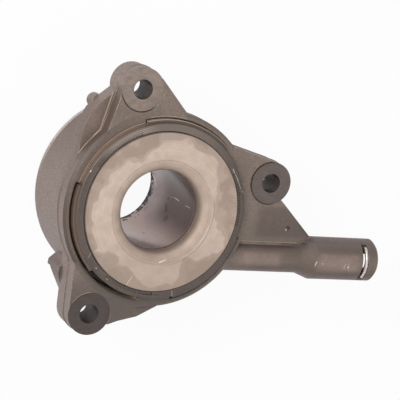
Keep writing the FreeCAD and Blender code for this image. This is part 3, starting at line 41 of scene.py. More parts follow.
# Radii: the bore, the thrust ring, the carrier and its upper lug, the recess with its
# cutouts, the drum, and the ears' holes and seats on their bolt circle.
BORE_R = 17.8
RING_R = 35.0
CARRIER_R = 38.5
LUG_R = 40.05
RECESS_R = 38.85
CUTOUT_R = 40.4
DRUM_R = 43.1
HOLE_R = 4.2
SEAT_R = 9.6
BOLT_CIRCLE_R = 53.5

# Each ear's direction, with the pale and the dark tone of its machined seat; the right and low
# seats are painted darker as painted shade.
EARS = {
    "top": (105.7, "#897a6f", "#796b61"),
    "right": (15.7, "#5f534e", "#574c47"),
    "low": (241.5, "#403632", "#39302c"),
}

# The stretch of the pipe tube that holds its cone, along x.
CONE_X = (69.0, 82.0)

# How far out the clean steel reaches on the bearing's face, every fifteen degrees.
CLEAN_REACH = (
    23.6, 24.4, 27.2, 31.4, 30.6, 32.2, 32.4, 27.0, 24.4, 28.0, 28.4, 30.4,
    31.4, 32.4, 31.8, 28.4, 28.8, 30.2, 31.4, 32.2, 24.4, 28.0, 32.6, 29.0,
)
# The radius that stands for the top of the curve drawn through those reaches.
REACH_SPAN = 40.0

# Marks are scratches, chips, stains and edge lines, with some painted shade and painted
# highlights, each given by the two ends of a straight stroke, its half width, its colour and its
# strength.
HOUSING_MARKS = (
    # painted shade of a small nick below the bearing
    ((-4.3, -43.7, FRONT_Z), (-0.8, -43.3, FRONT_Z), 0.45, "#3c332e", 0.9),
    ((-0.8, -43.3, FRONT_Z), (1.9, -42.9, FRONT_Z), 0.3, "#3c332e", 0.8),
    # bright chips on the pipe tube
    ((78.6, -19.6, CROWN_Z), (78.0, -21.9, 17.9), 0.42, "#c9bfb8", 0.8),
    ((77.2, -21.8, 18.0), (77.9, -22.5, 17.8), 0.4, "#c9bfb8", 0.75),
    ((81.5, -20.1, CROWN_Z), (81.7, -20.5, CROWN_Z), 0.35, "#bfb3ab", 0.6),
    ((93.4, -20.2, CROWN_Z), (92.9, -21.5, 18.0), 0.24, "#c9bfb8", 0.7),
    ((92.9, -21.5, 18.0), (93.1, -22.7, 17.8), 0.24, "#c9bfb8", 0.55),
    ((95.0, -20.3, CROWN_Z), (94.6, -20.9, 18.0), 0.24, "#c9bfb8", 0.6),
    ((94.9, -21.4, 18.0), (95.0, -21.8, 17.9), 0.42, "#ded6d1", 0.9),
    ((95.5, -22.9, 17.7), (95.6, -23.1, 17.6), 0.26, "#c9bfb8", 0.6),
    # rust-tinted run over the tube's cone
    ((73.0, -11.6, 13.0), (75.8, -15.6, 16.5), 0.8, "#8f745b", 0.5),
    ((75.8, -15.6, 16.5), (77.0, -18.4, 17.8), 0.7, "#8f745b", 0.45),
    ((76.6, -21.0, 17.9), (77.2, -23.6, 17.2), 0.5, "#8a715d", 0.35),
    # spot in the corner of ring and tube, and a tan streak at the right ear
    ((38.4, -16.6, 17.2), (38.7, -17.2, 17.2), 0.5, "#352c29", 0.8),
    ((44.2, 26.6, FRONT_Z), (52.0, 21.8, FRONT_Z), 0.9, "#94765a", 0.3),
    # shaded side of the gusset behind the low ear
    ((-36.6, -31.8, -16), (-36.6, -32.4, -1), 6.0, "#5c4c46", 0.6),
    # pale line along the upper ledge: painted highlight on the fillet at the foot of its wall
    ((-25.4, 48.2, 9), (-29.0, 32.2, 9), 0.4, "#c2ab98", 0.9),
    ((-29.0, 32.2, 9), (-33.2, 27.4, 9.4), 0.4, "#c2ab98", 0.9),
    ((-33.2, 27.4, 9.4), (-37.2, 21.6, 8.8), 0.4, "#b8a18f", 0.8),
    # worn lower edge of the web
    ((40.4, -12.0, FRONT_Z), (69.8, -11.9, FRONT_Z), 0.4, "#ab9787", 0.75),
    ((69.8, -11.9, FRONT_Z), (74.1, -8.7, FRONT_Z), 0.4, "#ab9787", 0.75),
    # shaded and lit side of the dimple in the web
    ((62.6, -4.7, SEAT_Z), (63.6, -5.5, SEAT_Z), 0.85, "#3a302b", 0.8),
    ((61.7, -5.9, SEAT_Z), (62.3, -6.5, SEAT_Z), 0.6, "#cfc3ba", 0.85),
)
FACE_MARKS = (
    ((1.7, -21.95, FACE_Z), (4.6, -20.75, FACE_Z), 0.4, "#efe3d6", 0.9),
    ((4.6, -20.75, FACE_Z), (7.7, -19.5, FACE_Z), 0.3, "#efe3d6", 0.8),
    ((7.7, -19.5, FACE_Z), (10.4, -18.75, FACE_Z), 0.25, "#efe3d6", 0.6),
    ((-12.1, -32.2, FACE_Z), (-10.1, -28.8, FACE_Z), 0.24, "#d8c9ba", 0.6),
    ((-28.2, -18.2, FACE_Z), (-27.2, -17.2, FACE_Z), 0.24, "#d3c4b5", 0.45),
)
BORE_MARKS = (
    # dark smear with its spot
    ((17.2, -4.6, -17.0), (16.3, -7.1, -13.6), 1.2, "#2e1d19", 0.95),
    ((17.7, -2.0, -17.0), (17.7, -1.6, -16.4), 0.8, "#150f0e", 0.95),
    ((15.3, -9.1, -10.8), (15.0, -9.5, -9.8), 2.0, "#2e1d19", 0.8),
    # bright scratches along the tube
    ((BORE_R, -0.7, -15.1), (BORE_R, 0.2, -9.5), 0.14, "#b3a5a1", 0.5),
    ((BORE_R, 0.2, -9.5), (BORE_R, 0.0, -4.8), 0.18, "#e6dcd8", 0.8),
    ((BORE_R, -0.3, 3.0), (BORE_R, -0.1, 8.0), 0.2, "#c9bcb8", 0.7),
    # wiped patches and streaks in the grease at the rear
    ((17.3, 4.2, -36.8), (17.6, 2.6, -34.2), 0.5, "#cfc8ce", 0.6),
    ((17.6, 2.6, -34.2), (BORE_R, 0.2, -33.4), 0.45, "#cfc8ce", 0.55),
    ((17.4, -3.4, -38.0), (17.4, -3.6, -35.0), 0.9, "#2b2425", 0.75),
    ((16.3, -7.2, -37.0), (15.6, -8.4, -35.6), 0.9, "#2b2425", 0.7),
)
CARRIER_MARKS = (
    ((30.3, 20.6, RIM_Z), (33.5, 15.5, RIM_Z), 0.26, "#c9beb4", 0.7),
    ((33.5, 15.5, RIM_Z), (35.4, 12.0, RIM_Z), 0.2, "#b8ada4", 0.6),
    ((36.0, 11.2, RIM_Z), (36.6, 10.6, RIM_Z), 0.26, "#b8ada4", 0.6),
    ((-29.8, -19.1, RIM_Z), (-30.8, -21.3, RIM_Z), 0.2, "#b3a79d", 0.55),
    ((-26.7, -25.5, RIM_Z), (-26.4, -25.8, RIM_Z), 0.3, "#c3b7ad", 0.7),
    ((-21.2, -30.1, RIM_Z), (-20.8, -30.4, RIM_Z), 0.3, "#b9ada3", 0.7),
    ((-34.8, 15.9, RIM_Z), (-34.6, 16.3, RIM_Z), 0.35, "#e0d6cd", 0.9),
    ((9.75, -34.7, RIM_Z), (10.1, -37.2, RIM_Z), 0.25, "#b3a79d", 0.6),
)

# Distances between fine lines: rings left by grinding on the bearing's face, draw lines
# in the guide tube, and the faint and the light turned lines on the carrier's rim. The
# first two are really some hundredths wide, and are drawn this coarse so that they show.
GRINDING_PITCH = 0.3125
DRAWING_PITCH = 0.6846
FAINT_PITCH = 0.625
TURNED_PITCH = 0.75

# The photograph's camera, found by fitting the ears, the bore and the face.
PHOTO_LENS = 162.835
PHOTO_PLACE = (-0.301644, 0.158892, 0.7119)
PHOTO_TURN = (-14.82861, -22.84204, 8.6817)

# Each lamp's place, target, size and power in watts.
LAMPS = {
    "key": ((-0.48, 0.26, 0.42), (0.0, 0.0, 0.0), 0.4, 3.6),
    "fill": ((0.25, -0.35, 1.0), (0.02, 0.0, 0.0), 0.8, 2.3),
}
FLOOR_HALF_WIDTH = 2.0
FLOOR_DROP = 0.0002
FLOOR_GLOW = 0.94
SOFT_LIGHT = 0.4


def linear(code):
    """Linear colour with alpha from an sRGB hex code."""
    channels = np.array([int(code[i:i + 2], 16) for i in (1, 3, 5)]) / 255
    low = channels / 12.92
    high = ((channels + 0.055) / 1.055) ** 2.4
    return (*np.where(channels <= 0.04045, low, high), 1.0)


def feed(tree, node, inputs):
    """Link or set the inputs of a node. Another node stands for its first output."""
    for name, value in inputs.items():
        if isinstance(value, bpy.types.Node):
            value = value.outputs[0]
        if isinstance(value, bpy.types.NodeSocket):
            tree.links.new(value, node.inputs[name])
        else:
            node.inputs[name].default_value = value


def add(tree, kind, inputs=None, **settings):
    """Add a node with its settings, and feed its inputs."""
    node = tree.nodes.new(kind)
    for name, value in settings.items():
        setattr(node, name, value)
    feed(tree, node, inputs or {})
    return node


def new_material(name, metallic, roughness):
    """Material with a principled shader whose constants sit on its sockets."""
    material = bpy.data.materials.new(name)
    material.use_nodes = True
    tree = material.node_tree
    shader = tree.nodes["Principled BSDF"]
    feed(tree, shader, {"Metallic": metallic, "Roughness": roughness})
    coords = add(tree, "ShaderNodeTexCoord").outputs["Object"]
    return material, tree, shader, coords


def rising(value, low, high, full=1.0):
    """Factor that goes smoothly from zero below a range to full above it."""
    return value, low, high, 0.0, full


def falling(value, low, high, full=1.0):
    """Factor that goes smoothly from full below a range to zero above it."""
    return value, low, high, full, 0.0


def amount(tree, *factors):
    """Amount that the factors multiply to. Each is a number, a node's output, or a
    value with the range over which it goes smoothly from one amount to another."""
    total = None
    for factor in factors:
        if isinstance(factor, tuple):
            value, low, high, start, end = factor
            factor = add(tree, "ShaderNodeMapRange",
                         {"Value": value, "From Min": low, "From Max": high,
                          "To Min": start, "To Max": end},
                         interpolation_type="SMOOTHSTEP")
        total = factor if total is None else add(
            tree, "ShaderNodeMath", {0: total, 1: factor}, operation="MULTIPLY")
    return total


def laid(tree, skin, colour, *factors):
    """Skin with a colour laid over it, as strongly as the factors multiply to."""
    skin, colour = (linear(paint) if isinstance(paint, str) else paint
                    for paint in (skin, colour))
    mixed = add(tree, "ShaderNodeMix", {0: amount(tree, *factors), 6: skin, 7: colour},
                data_type="RGBA")
    return mixed.outputs[2]


def within(tree, value, low, high, soft):
    """One inside a range and zero outside it, with soft ends."""
    return amount(tree, rising(value, low - soft, low), falling(value, high, high + soft))


def between_degrees(tree, angle, middle, half, soft):
    """One on an arc about an axis and zero off it, with its ends faded."""
    away = add(tree, "ShaderNodeMath", {0: angle, 1: math.radians(middle)},
               operation="SUBTRACT")
    sine, cosine = (add(tree, "ShaderNodeMath", {0: away}, operation=part)
                    for part in ("SINE", "COSINE"))
    away = add(tree, "ShaderNodeMath", {0: sine, 1: cosine}, operation="ARCTAN2")
    away = add(tree, "ShaderNodeMath", {0: away}, operation="ABSOLUTE")
    return amount(tree, falling(away, math.radians(half - soft), math.radians(half)))


def mottle(tree, coords, grain_mm, detail, stretch=(1, 1, 1)):
    """Cloudy pattern whose patches measure about the grain in millimetres."""
    placed = add(tree, "ShaderNodeMapping", {"Vector": coords, "Scale": stretch})
    return add(tree, "ShaderNodeTexNoise",
               {"Vector": placed, "Scale": 1 / (grain_mm * MM), "Detail": detail,
                "Roughness": 0.55})


def streaks(tree, value, pitch, detail=3.0):
    """Streaks across a value, with the coarse ones about a pitch of it apart."""
    return add(tree, "ShaderNodeTexNoise",
               {"W": amount(tree, value, 1 / pitch), "Scale": 1.0, "Detail": detail},
               noise_dimensions="1D")


def about_axis(tree, coords, x_mm=0.0, y_mm=0.0):
    """Place about an upright axis: x, y and z from it, the distance and the angle."""
    placed = add(tree, "ShaderNodeMapping",
                 {"Vector": coords, "Location": (-x_mm, -y_mm, 0), "Scale": TO_MM})
    x, y, z = add(tree, "ShaderNodeSeparateXYZ", {"Vector": placed}).outputs
    flat = add(tree, "ShaderNodeCombineXYZ", {"X": x, "Y": y})
    length = add(tree, "ShaderNodeVectorMath", {0: flat}, operation="LENGTH")
    angle = add(tree, "ShaderNodeMath", {0: y, 1: x}, operation="ARCTAN2")
    return SimpleNamespace(x=x, y=y, z=z, far=length.outputs["Value"], angle=angle)


def facing_clutch(tree):
    """How squarely a surface faces the clutch, from minus one to one."""
    normal = add(tree, "ShaderNodeNewGeometry").outputs["Normal"]
    return add(tree, "ShaderNodeSeparateXYZ", {"Vector": normal}).outputs["Z"]


def stroke_mask(tree, coords, start, end, width, soft=0.4):
    """Stroke between two points in millimetres: full near the nearest point of the
    line between them, and zero at the half width from it."""
    along = np.array(end, float) - np.array(start, float)
    length = float(np.linalg.norm(along))
    direction = tuple(along / length)
    offset = add(tree, "ShaderNodeMapping",
                 {"Vector": coords, "Location": tuple(-part for part in start),
                  "Scale": TO_MM})
    run = add(tree, "ShaderNodeVectorMath", {0: offset, 1: direction},
              operation="DOT_PRODUCT")
    held = add(tree, "ShaderNodeClamp",
               {"Value": run.outputs["Value"], "Min": 0.0, "Max": length})
    nearest = add(tree, "ShaderNodeVectorMath", {0: direction, "Scale": held},
                  operation="SCALE")
    gap = add(tree, "ShaderNodeVectorMath", {0: offset, 1: nearest}, operation="DISTANCE")
    return amount(tree, falling(gap.outputs["Value"], width * soft, width))


def marked(tree, coords, skin, marks):
    """Skin with scratches, stains, painted shade and painted highlights laid over it, each from
    point to point.
    """
    for start, end, width, colour, strength in marks:
        skin = laid(tree, skin, colour, stroke_mask(tree, coords, start, end, width), strength)
    return skin


def worn_edges(tree, radius):
    """How worn an edge is, from the turn of the surface within a radius in metres,
    and a rounded normal."""
    rounded = add(tree, "ShaderNodeBevel", {"Radius": radius}, samples=8)
    normal = add(tree, "ShaderNodeNewGeometry").outputs["Normal"]
    turn = add(tree, "ShaderNodeVectorMath", {0: rounded, 1: normal}, operation="DOT_PRODUCT")
    return amount(tree, falling(turn.outputs["Value"], 0.84, 0.98)), rounded


def cast_skin_and_facing_light(tree, coords, front):
    """Olive-grey towards the clutch and pinker on the walls as painted light by facing, with tan
    clouds.
    """
    patches = mottle(tree, coords, 13, 2)
    # faces towards the clutch and walls are lit and shaded copies of one skin: painted light by
    # facing
    face = laid(tree, "#716358", "#7b6b61", rising(patches, 0.38, 0.62))
    wall = laid(tree, "#86726a", "#877872", rising(patches, 0.35, 0.65))
    tan = mottle(tree, coords, 4.5, 4)
    return laid(tree, laid(tree, wall, face, front), "#8a7060", rising(tan, 0.56, 0.74, 0.5))


def drum_shades(tree, coords, place, facing, skin):
    """Painted shade on the upper side of the drum, a painted reflection on its rear rim and
    painted shade under the ledge.
    """
    drum = amount(tree, falling(place.far, 52.0, 54.0), falling(facing, 0.3, 0.6))
    # painted shade on the upper side of the drum
    skin = laid(tree, skin, "#624d44", drum,
                between_degrees(tree, place.angle, 125, 58, 50), 0.6)
    # more painted shade towards its upper left
    skin = laid(tree, skin, "#5f5149", drum, rising(place.z, 1.0, 9.0),
                between_degrees(tree, place.angle, 155, 34, 26), 0.35)
    # painted reflection of the white surroundings on the rear rim
    skin = laid(tree, skin, "#c4b8b5", falling(place.z, -23.0, -22.0),
                between_degrees(tree, place.angle, 125, 52, 30),
                rising(place.far, 40.0, 41.0), 0.95)
    corner = add(tree, "ShaderNodeMath",
                 {0: stroke_mask(tree, coords, (-25.4, 47.0, 12), (-28.4, 32.4, 12), 6.0, 0.6),
                  1: stroke_mask(tree, coords, (-28.4, 32.4, 12), (-36.0, 22.3, 12), 5.0, 0.6)},
                 operation="MAXIMUM")
    return laid(tree, skin, "#5b4c43", corner, falling(facing, 0.3, 0.7),
                within(tree, place.z, 9.0, 14.5, 1.0), 0.8)


def ring_shades(tree, place, facing, skin):
    """Tones of the ring about the carrier, of its recess and of the cutouts' walls, mostly
    painted shade, painted highlight and painted light.
    """
    far, angle, z = place.far, place.angle, place.z
    # painted shade on the left of the ring's front, stronger on its chamfer
    left = amount(tree, falling(far, DRUM_R + 0.1, DRUM_R + 0.5), rising(z, 14.5, 14.9),
                  between_degrees(tree, angle, 182, 82, 30))
    skin = laid(tree, skin, "#4c3f36", left, 0.45)
    skin = laid(tree, skin, "#3f3630", left, within(tree, facing, 0.5, 0.85, 0.1), 0.5)
    # shaded front of the ring beside the open cutout
    skin = laid(tree, skin, "#352d28", falling(far, 40.8, 42.5), rising(z, 15.0, 15.3),
                rising(facing, 0.8, 0.95), between_degrees(tree, angle, 238, 30, 10), 0.85)
    # painted highlight on the upper-left edge of the recess, and the pale edge over the upper
    # cutout
    skin = laid(tree, skin, "#dcc6b3",
                within(tree, far, RECESS_R - 0.15, RECESS_R + 0.5, 0.15),
                rising(z, 15.2, 15.4), between_degrees(tree, angle, 137, 34, 8))
    skin = laid(tree, skin, "#bba490", within(tree, far, CUTOUT_R + 0.5, CUTOUT_R + 0.75, 0.15),
                between_degrees(tree, angle, 92, 13, 2), rising(z, 15.3, 15.6), 0.45)
    # walls of the cutouts painted pale: painted light from the bright steel
    skin = laid(tree, skin, "#d8c6b6", falling(far, CUTOUT_R, CUTOUT_R + 0.2),
                within(tree, z, -5.0, 15.0, 0.5), 0.9)
    # shade under the mould parting ridge
    return laid(tree, skin, "#3a302c", within(tree, z, 6.9, 8.4, 0.2),
                between_degrees(tree, angle, 200, 36, 18),
                within(tree, far, 40.0, 44.0, 0.3), 0.9)


def pipe_side_shades(tree, coords, place, facing, front, skin):
    """Painted shade on the low ear, the heel and the tube's underside, painted light on the
    tube's crown, and a darker middle of the web.
    """
    x, y = place.x, place.y
    # painted shade on the low ear
    skin = laid(tree, skin, "#4f443f", falling(y, -42.0, -24.0, 0.8),
                rising(facing, 0.5, 0.9))
    # painted shade on the heel, towards the lower right
    skin = laid(tree, skin, "#5a4d46", rising(x, 40.0, 56.0, 0.55), falling(y, -10.0, 8.0))
    tube = amount(tree, rising(x, 38.0, 46.0), falling(y, -12.5, -11.5))
    # painted shade on the underside of the pipe tube
    skin = laid(tree, skin, "#84757e", tube, falling(facing, 0.2, 0.85, 0.65))
    # painted light along the crown of the pipe tube, away from the cone
    off_cone = add(tree, "ShaderNodeMath", {0: 1.0, 1: within(tree, x, 64.0, 77.0, 5.0)},
                   operation="SUBTRACT")
    skin = laid(tree, skin, "#948076", tube, rising(facing, 0.84, 0.98, 0.8), off_cone,
                (x, 98.0, 103.0, 1.0, 0.3), (x, 60.0, 80.0, 0.75, 1.0),
                (mottle(tree, coords, 3.5, 5), 0.3, 0.7, 0.6, 1.0))
    return laid(tree, skin, "#483b34", within(tree, x, 50.0, 70.0, 6.0),
                within(tree, y, -8.0, 3.0, 2.5), front, 0.5)


def seat_shades(tree, coords, skin):
    """Brushed seats of the ears, the right and low ones painted darker as painted shade, and
    painted shade on the walls of their holes.
    """
    for ear, (direction, pale, dark) in EARS.items():
        turn = math.radians(direction)
        seat = about_axis(tree, coords, BOLT_CIRCLE_R * math.cos(turn),
                          BOLT_CIRCLE_R * math.sin(turn))
        brushed = mottle(tree, coords, 1.6, 4, (0.45, 1, 1))
        machined = laid(tree, pale, dark, rising(brushed, 0.35, 0.65))
        # machined seat in the ear's tone, with painted shade on the right and low ears
        skin = laid(tree, skin, machined, within(tree, seat.z, SEAT_Z - 0.4, SEAT_Z + 0.2, 0.15),
                    falling(seat.far, SEAT_R - 0.25, SEAT_R - 0.05))
        # painted shade on the walls of the hole
        skin = laid(tree, skin, "#382c27", falling(seat.far, HOLE_R + 0.05, HOLE_R + 0.2, 0.95))
        # pale arc on the upper-left edge of the low seat: a worn edge with a painted highlight
        if ear == "low":
            skin = laid(tree, skin, "#b5976c",
                        within(tree, seat.far, SEAT_R - 0.15, SEAT_R + 0.2, 0.15),
                        between_degrees(tree, seat.angle, 122, 34, 12), 0.75)
    return skin


def cast_housing():
    """Hard-anodised die-cast aluminium: satin olive-grey skin, painted lighter and pinker on the
    walls as painted light, with a fine cast grain, cloudy patches, pale worn edges, and painted
    shade and light in places."""
    material, tree, shader, coords = new_material("anodised_cast_aluminium", 0.2, 0.5)
    place = about_axis(tree, coords)
    facing = facing_clutch(tree)
    front = add(tree, "ShaderNodeMath",
                {0: amount(tree, rising(facing, 0.05, 0.3), rising(place.z, 12.0, 14.0)),
                 1: amount(tree, rising(facing, 0.25, 0.85))}, operation="MAXIMUM")
    skin = cast_skin_and_facing_light(tree, coords, front)
    skin = drum_shades(tree, coords, place, facing, skin)
    # The cast grain and its pale flecks are really about 0.3 mm, and are drawn
    # at 0.9 and 0.7 mm so that they show.
    grain = mottle(tree, coords, 0.9, 4)
    skin = laid(tree, skin, "#5f554c", rising(grain, 0.35, 0.72, 0.5))
    skin = laid(tree, skin, "#a2948a", rising(mottle(tree, coords, 0.7, 2), 0.64, 0.74, 0.45))
    # The edges are worn, but the cone of the pipe tube is only rounded more.
    cone = within(tree, place.x, *CONE_X, 2.0)
    edges, rounded = worn_edges(tree, amount(tree, (cone, 0.0, 1.0, 0.45 * MM, 2.2 * MM)))
    off_cone = add(tree, "ShaderNodeMath", {0: 1.0, 1: cone}, operation="SUBTRACT")
    skin = laid(tree, skin, "#a8968a", edges, off_cone,
                (mottle(tree, coords, 4, 3), 0.38, 0.62, 0.15, 0.8))
    skin = ring_shades(tree, place, facing, skin)
    skin = pipe_side_shades(tree, coords, place, facing, front, skin)
    skin = seat_shades(tree, coords, skin)
    relief = add(tree, "ShaderNodeBump",
                 {"Height": grain, "Distance": 0.12 * MM, "Strength": 0.35,
                  "Normal": rounded})
    feed(tree, shader, {"Base Color": marked(tree, coords, skin, HOUSING_MARKS),
                        "Roughness": amount(tree, (grain, 0.25, 0.75, 0.44, 0.58)),
                        "Normal": relief})
    return material


def clean_reach(tree, angle):
    """How far out the clean steel reaches, from a curve through all the angles."""
    turn = add(tree, "ShaderNodeMath", {0: amount(tree, angle, 0.5 / math.pi)},
               operation="FRACT")
    curve = add(tree, "ShaderNodeFloatCurve", {"Value": turn})
    points = curve.mapping.curves[0].points
    levels = [reach / REACH_SPAN for reach in CLEAN_REACH]
    points[0].location = (0.0, levels[0])
    points[1].location = (1.0, levels[0])
    for step, level in enumerate(levels[1:], 1):
        points.new(step / len(levels), level)
    curve.mapping.update()
    return amount(tree, curve, REACH_SPAN)


def past_the_tide(tree, coords, place):
    """Distance beyond the ragged edge of the dried film, negative on clean steel."""
    flattened = add(tree, "ShaderNodeMapping", {"Vector": coords, "Scale": (1, 1, 0)})
    drops = add(tree, "ShaderNodeTexVoronoi",
                {"Vector": flattened, "Scale": 1 / (4.5 * MM), "Smoothness": 0.25},
                feature="SMOOTH_F1")
    ragged = add(tree, "ShaderNodeMath",
                 {0: amount(tree, (mottle(tree, coords, 7, 1), 0.25, 0.75, -1.6, 1.6)),
                  1: amount(tree, drops, -2.4)}, operation="ADD")
    ragged = add(tree, "ShaderNodeMath", {0: ragged, 1: 1.0}, operation="ADD")
    reach = add(tree, "ShaderNodeMath", {0: place.far, 1: ragged}, operation="ADD")
    return add(tree, "ShaderNodeMath", {0: reach, 1: clean_reach(tree, place.angle)},
               operation="SUBTRACT")


def ground_steel():
    """Ground bearing steel: fine rings from the grinding wheel, dried tide marks
    between the clean middle and the rim, clouds of film, and painted shade on the outer edge and
    the lower side."""
    material, tree, shader, coords = new_material("ground_bearing_steel", 0.4, 0.4)
    place = about_axis(tree, coords)
    far, angle = place.far, place.angle
    past = past_the_tide(tree, coords, place)
    film = amount(tree, rising(past, -0.5, 0.8))
    shade = mottle(tree, coords, 5, 4)
    steel = laid(tree, "#bfab9c", "#b39f90", rising(shade, 0.3, 0.7))
    faint = add(tree, "ShaderNodeMath", {0: between_degrees(tree, angle, 135, 35, 14),
                                         1: between_degrees(tree, angle, 8, 42, 24)},
                operation="MAXIMUM")
    steel = laid(tree, steel, "#a28f82", film, (faint, 0.0, 1.0, 0.9, 0.6))
    steel = laid(tree, steel, "#927f70", rising(past, 1.6, 2.6),
                 rising(mottle(tree, coords, 9, 2), 0.4, 0.58), 0.7)
    # painted shade towards the lower side of the face
    steel = laid(tree, steel, "#8f7e71", falling(place.y, -32.0, -4.0, 0.45))
    rings = streaks(tree, far, GRINDING_PITCH, 4.0)
    steel = laid(tree, steel, "#8f8175", rising(rings, 0.42, 0.72, 0.34))
    # shade at the foot of the rounding, on the lip of the bore, and on the outer edge
    steel = laid(tree, steel, "#7d6c5f", within(tree, far, 23.7, 23.95, 0.2),
                 between_degrees(tree, angle, -28, 58, 20), 0.45)
    steel = laid(tree, steel, "#75665c", falling(far, 17.9, 19.4), 0.55)
    steel = laid(tree, steel, "#5d5047", rising(far, RING_R - 0.4, RING_R - 0.2),
                 rising(place.z, 18.9, 19.4), between_degrees(tree, angle, 150, 95, 40), 0.75)
    filmed = add(tree, "ShaderNodeMath", {0: film, 1: shade}, operation="ADD")
    rough = add(tree, "ShaderNodeMath",
                {0: amount(tree, (filmed, 0.2, 1.6, 0.4, 0.52)),
                 1: amount(tree, (far, 21.0, 25.0, 0.68, 0.4))}, operation="MAXIMUM")
    relief = add(tree, "ShaderNodeBump",
                 {"Height": rings, "Distance": 0.02 * MM, "Strength": 0.25})
    feed(tree, shader, {"Base Color": marked(tree, coords, steel, FACE_MARKS),
                        "Roughness": rough, "Normal": relief})
    return material


def drawn_tube():
    """Drawn steel tube: shiny, with faint draw lines along it, a smear and scuffs
    inside, and dark spots of old grease in a band near its rear edge."""
    material, tree, shader, coords = new_material("drawn_steel_tube", 0.85, 0.28)
    place = about_axis(tree, coords)
    angle, z = place.angle, place.z
    steel = laid(tree, "#968685", "#7d6e6c",
                 rising(mottle(tree, coords, 9, 3, (1, 1, 0.5)), 0.3, 0.7))
    draw = streaks(tree, angle, DRAWING_PITCH / BORE_R)
    steel = laid(tree, steel, "#756a6d", rising(draw, 0.4, 0.7, 0.2))
    # painted reflection on the lower side, painted shade on the right side, dull front edge
    steel = laid(tree, steel, "#ab8f86", between_degrees(tree, angle, 290, 50, 40), 0.6)
    steel = laid(tree, steel, "#41251f", between_degrees(tree, angle, 5, 80, 55),
                 rising(z, -34.0, -12.0), 0.9)
    steel = laid(tree, steel, "#7d6b61", rising(z, GUIDE_Z - 3.0, GUIDE_Z - 1.0, 0.85))
    # grease spots, thickest at the rear edge
    bare = add(tree, "ShaderNodeMath", {0: mottle(tree, coords, 1.6, 4), 1: 1.0},
               operation="SUBTRACT")
    spread = amount(tree, (z, REAR_Z + 0.4, -31.5, 0.6, 0.31))
    spots = add(tree, "ShaderNodeMath", {0: bare, 1: spread}, operation="ADD")
    grease = amount(tree, rising(spots, -0.01, 0.04))
    steel = laid(tree, steel, "#2e2729", grease, 0.9)
    rough = add(tree, "ShaderNodeMath",
                {0: amount(tree, (grease, 0.0, 1.0, 0.26, 0.6)),
                 1: amount(tree, rising(z, GUIDE_Z - 2.5, GUIDE_Z - 1.0, 0.7))},
                operation="MAXIMUM")
    relief = add(tree, "ShaderNodeBump",
                 {"Height": draw, "Distance": 0.015 * MM, "Strength": 0.3})
    feed(tree, shader, {"Base Color": marked(tree, coords, steel, BORE_MARKS),
                        "Roughness": rough, "Normal": relief})
    return material


def carrier_wall_shades(tree, place, above, skin):
    """Painted light on the carrier's outer wall in the gaps, and the tones of the lug in the
    upper cutout.
    """
    far, angle, z = place.far, place.angle, place.z
    outside = amount(tree, rising(far, CARRIER_R - 0.2, CARRIER_R - 0.05))
    side = amount(tree, outside, rising(z, 14.0, 14.8))
    wall = amount(tree, falling(z, RIM_Z - 0.3, RIM_Z - 0.1), side)
    upper_left = between_degrees(tree, angle, 135, 32, 5)
    # painted light on the carrier's outer wall in the gaps, paler deep in the upper-left gap
    skin = laid(tree, skin, "#6f5d50", wall, upper_left, 0.85)
    skin = laid(tree, skin, "#c4ad9b", falling(z, 15.7, 16.2), side, upper_left, 0.9)
    skin = laid(tree, skin, "#624f42", wall, between_degrees(tree, angle, 194, 31, 5), 0.85)
    lug = between_degrees(tree, angle, 78, 33, 4)
    skin = laid(tree, skin, "#3a2e27", lug, within(tree, z, LUG_Z - 0.2, LUG_Z + 0.4, 0.15),
                within(tree, far, CARRIER_R - 0.2, LUG_R - 0.45, 0.25), 0.8)
    skin = laid(tree, skin, "#c9b6a6", lug, above, rising(far, LUG_R - 0.3, LUG_R - 0.1), 0.55)
    # painted light on the outer wall at the open cutout
    return laid(tree, skin, "#a8917e", falling(z, 17.0, 18.0), outside,
                rising(z, 12.0, 14.5), between_degrees(tree, angle, 250, 30, 6), 0.85)


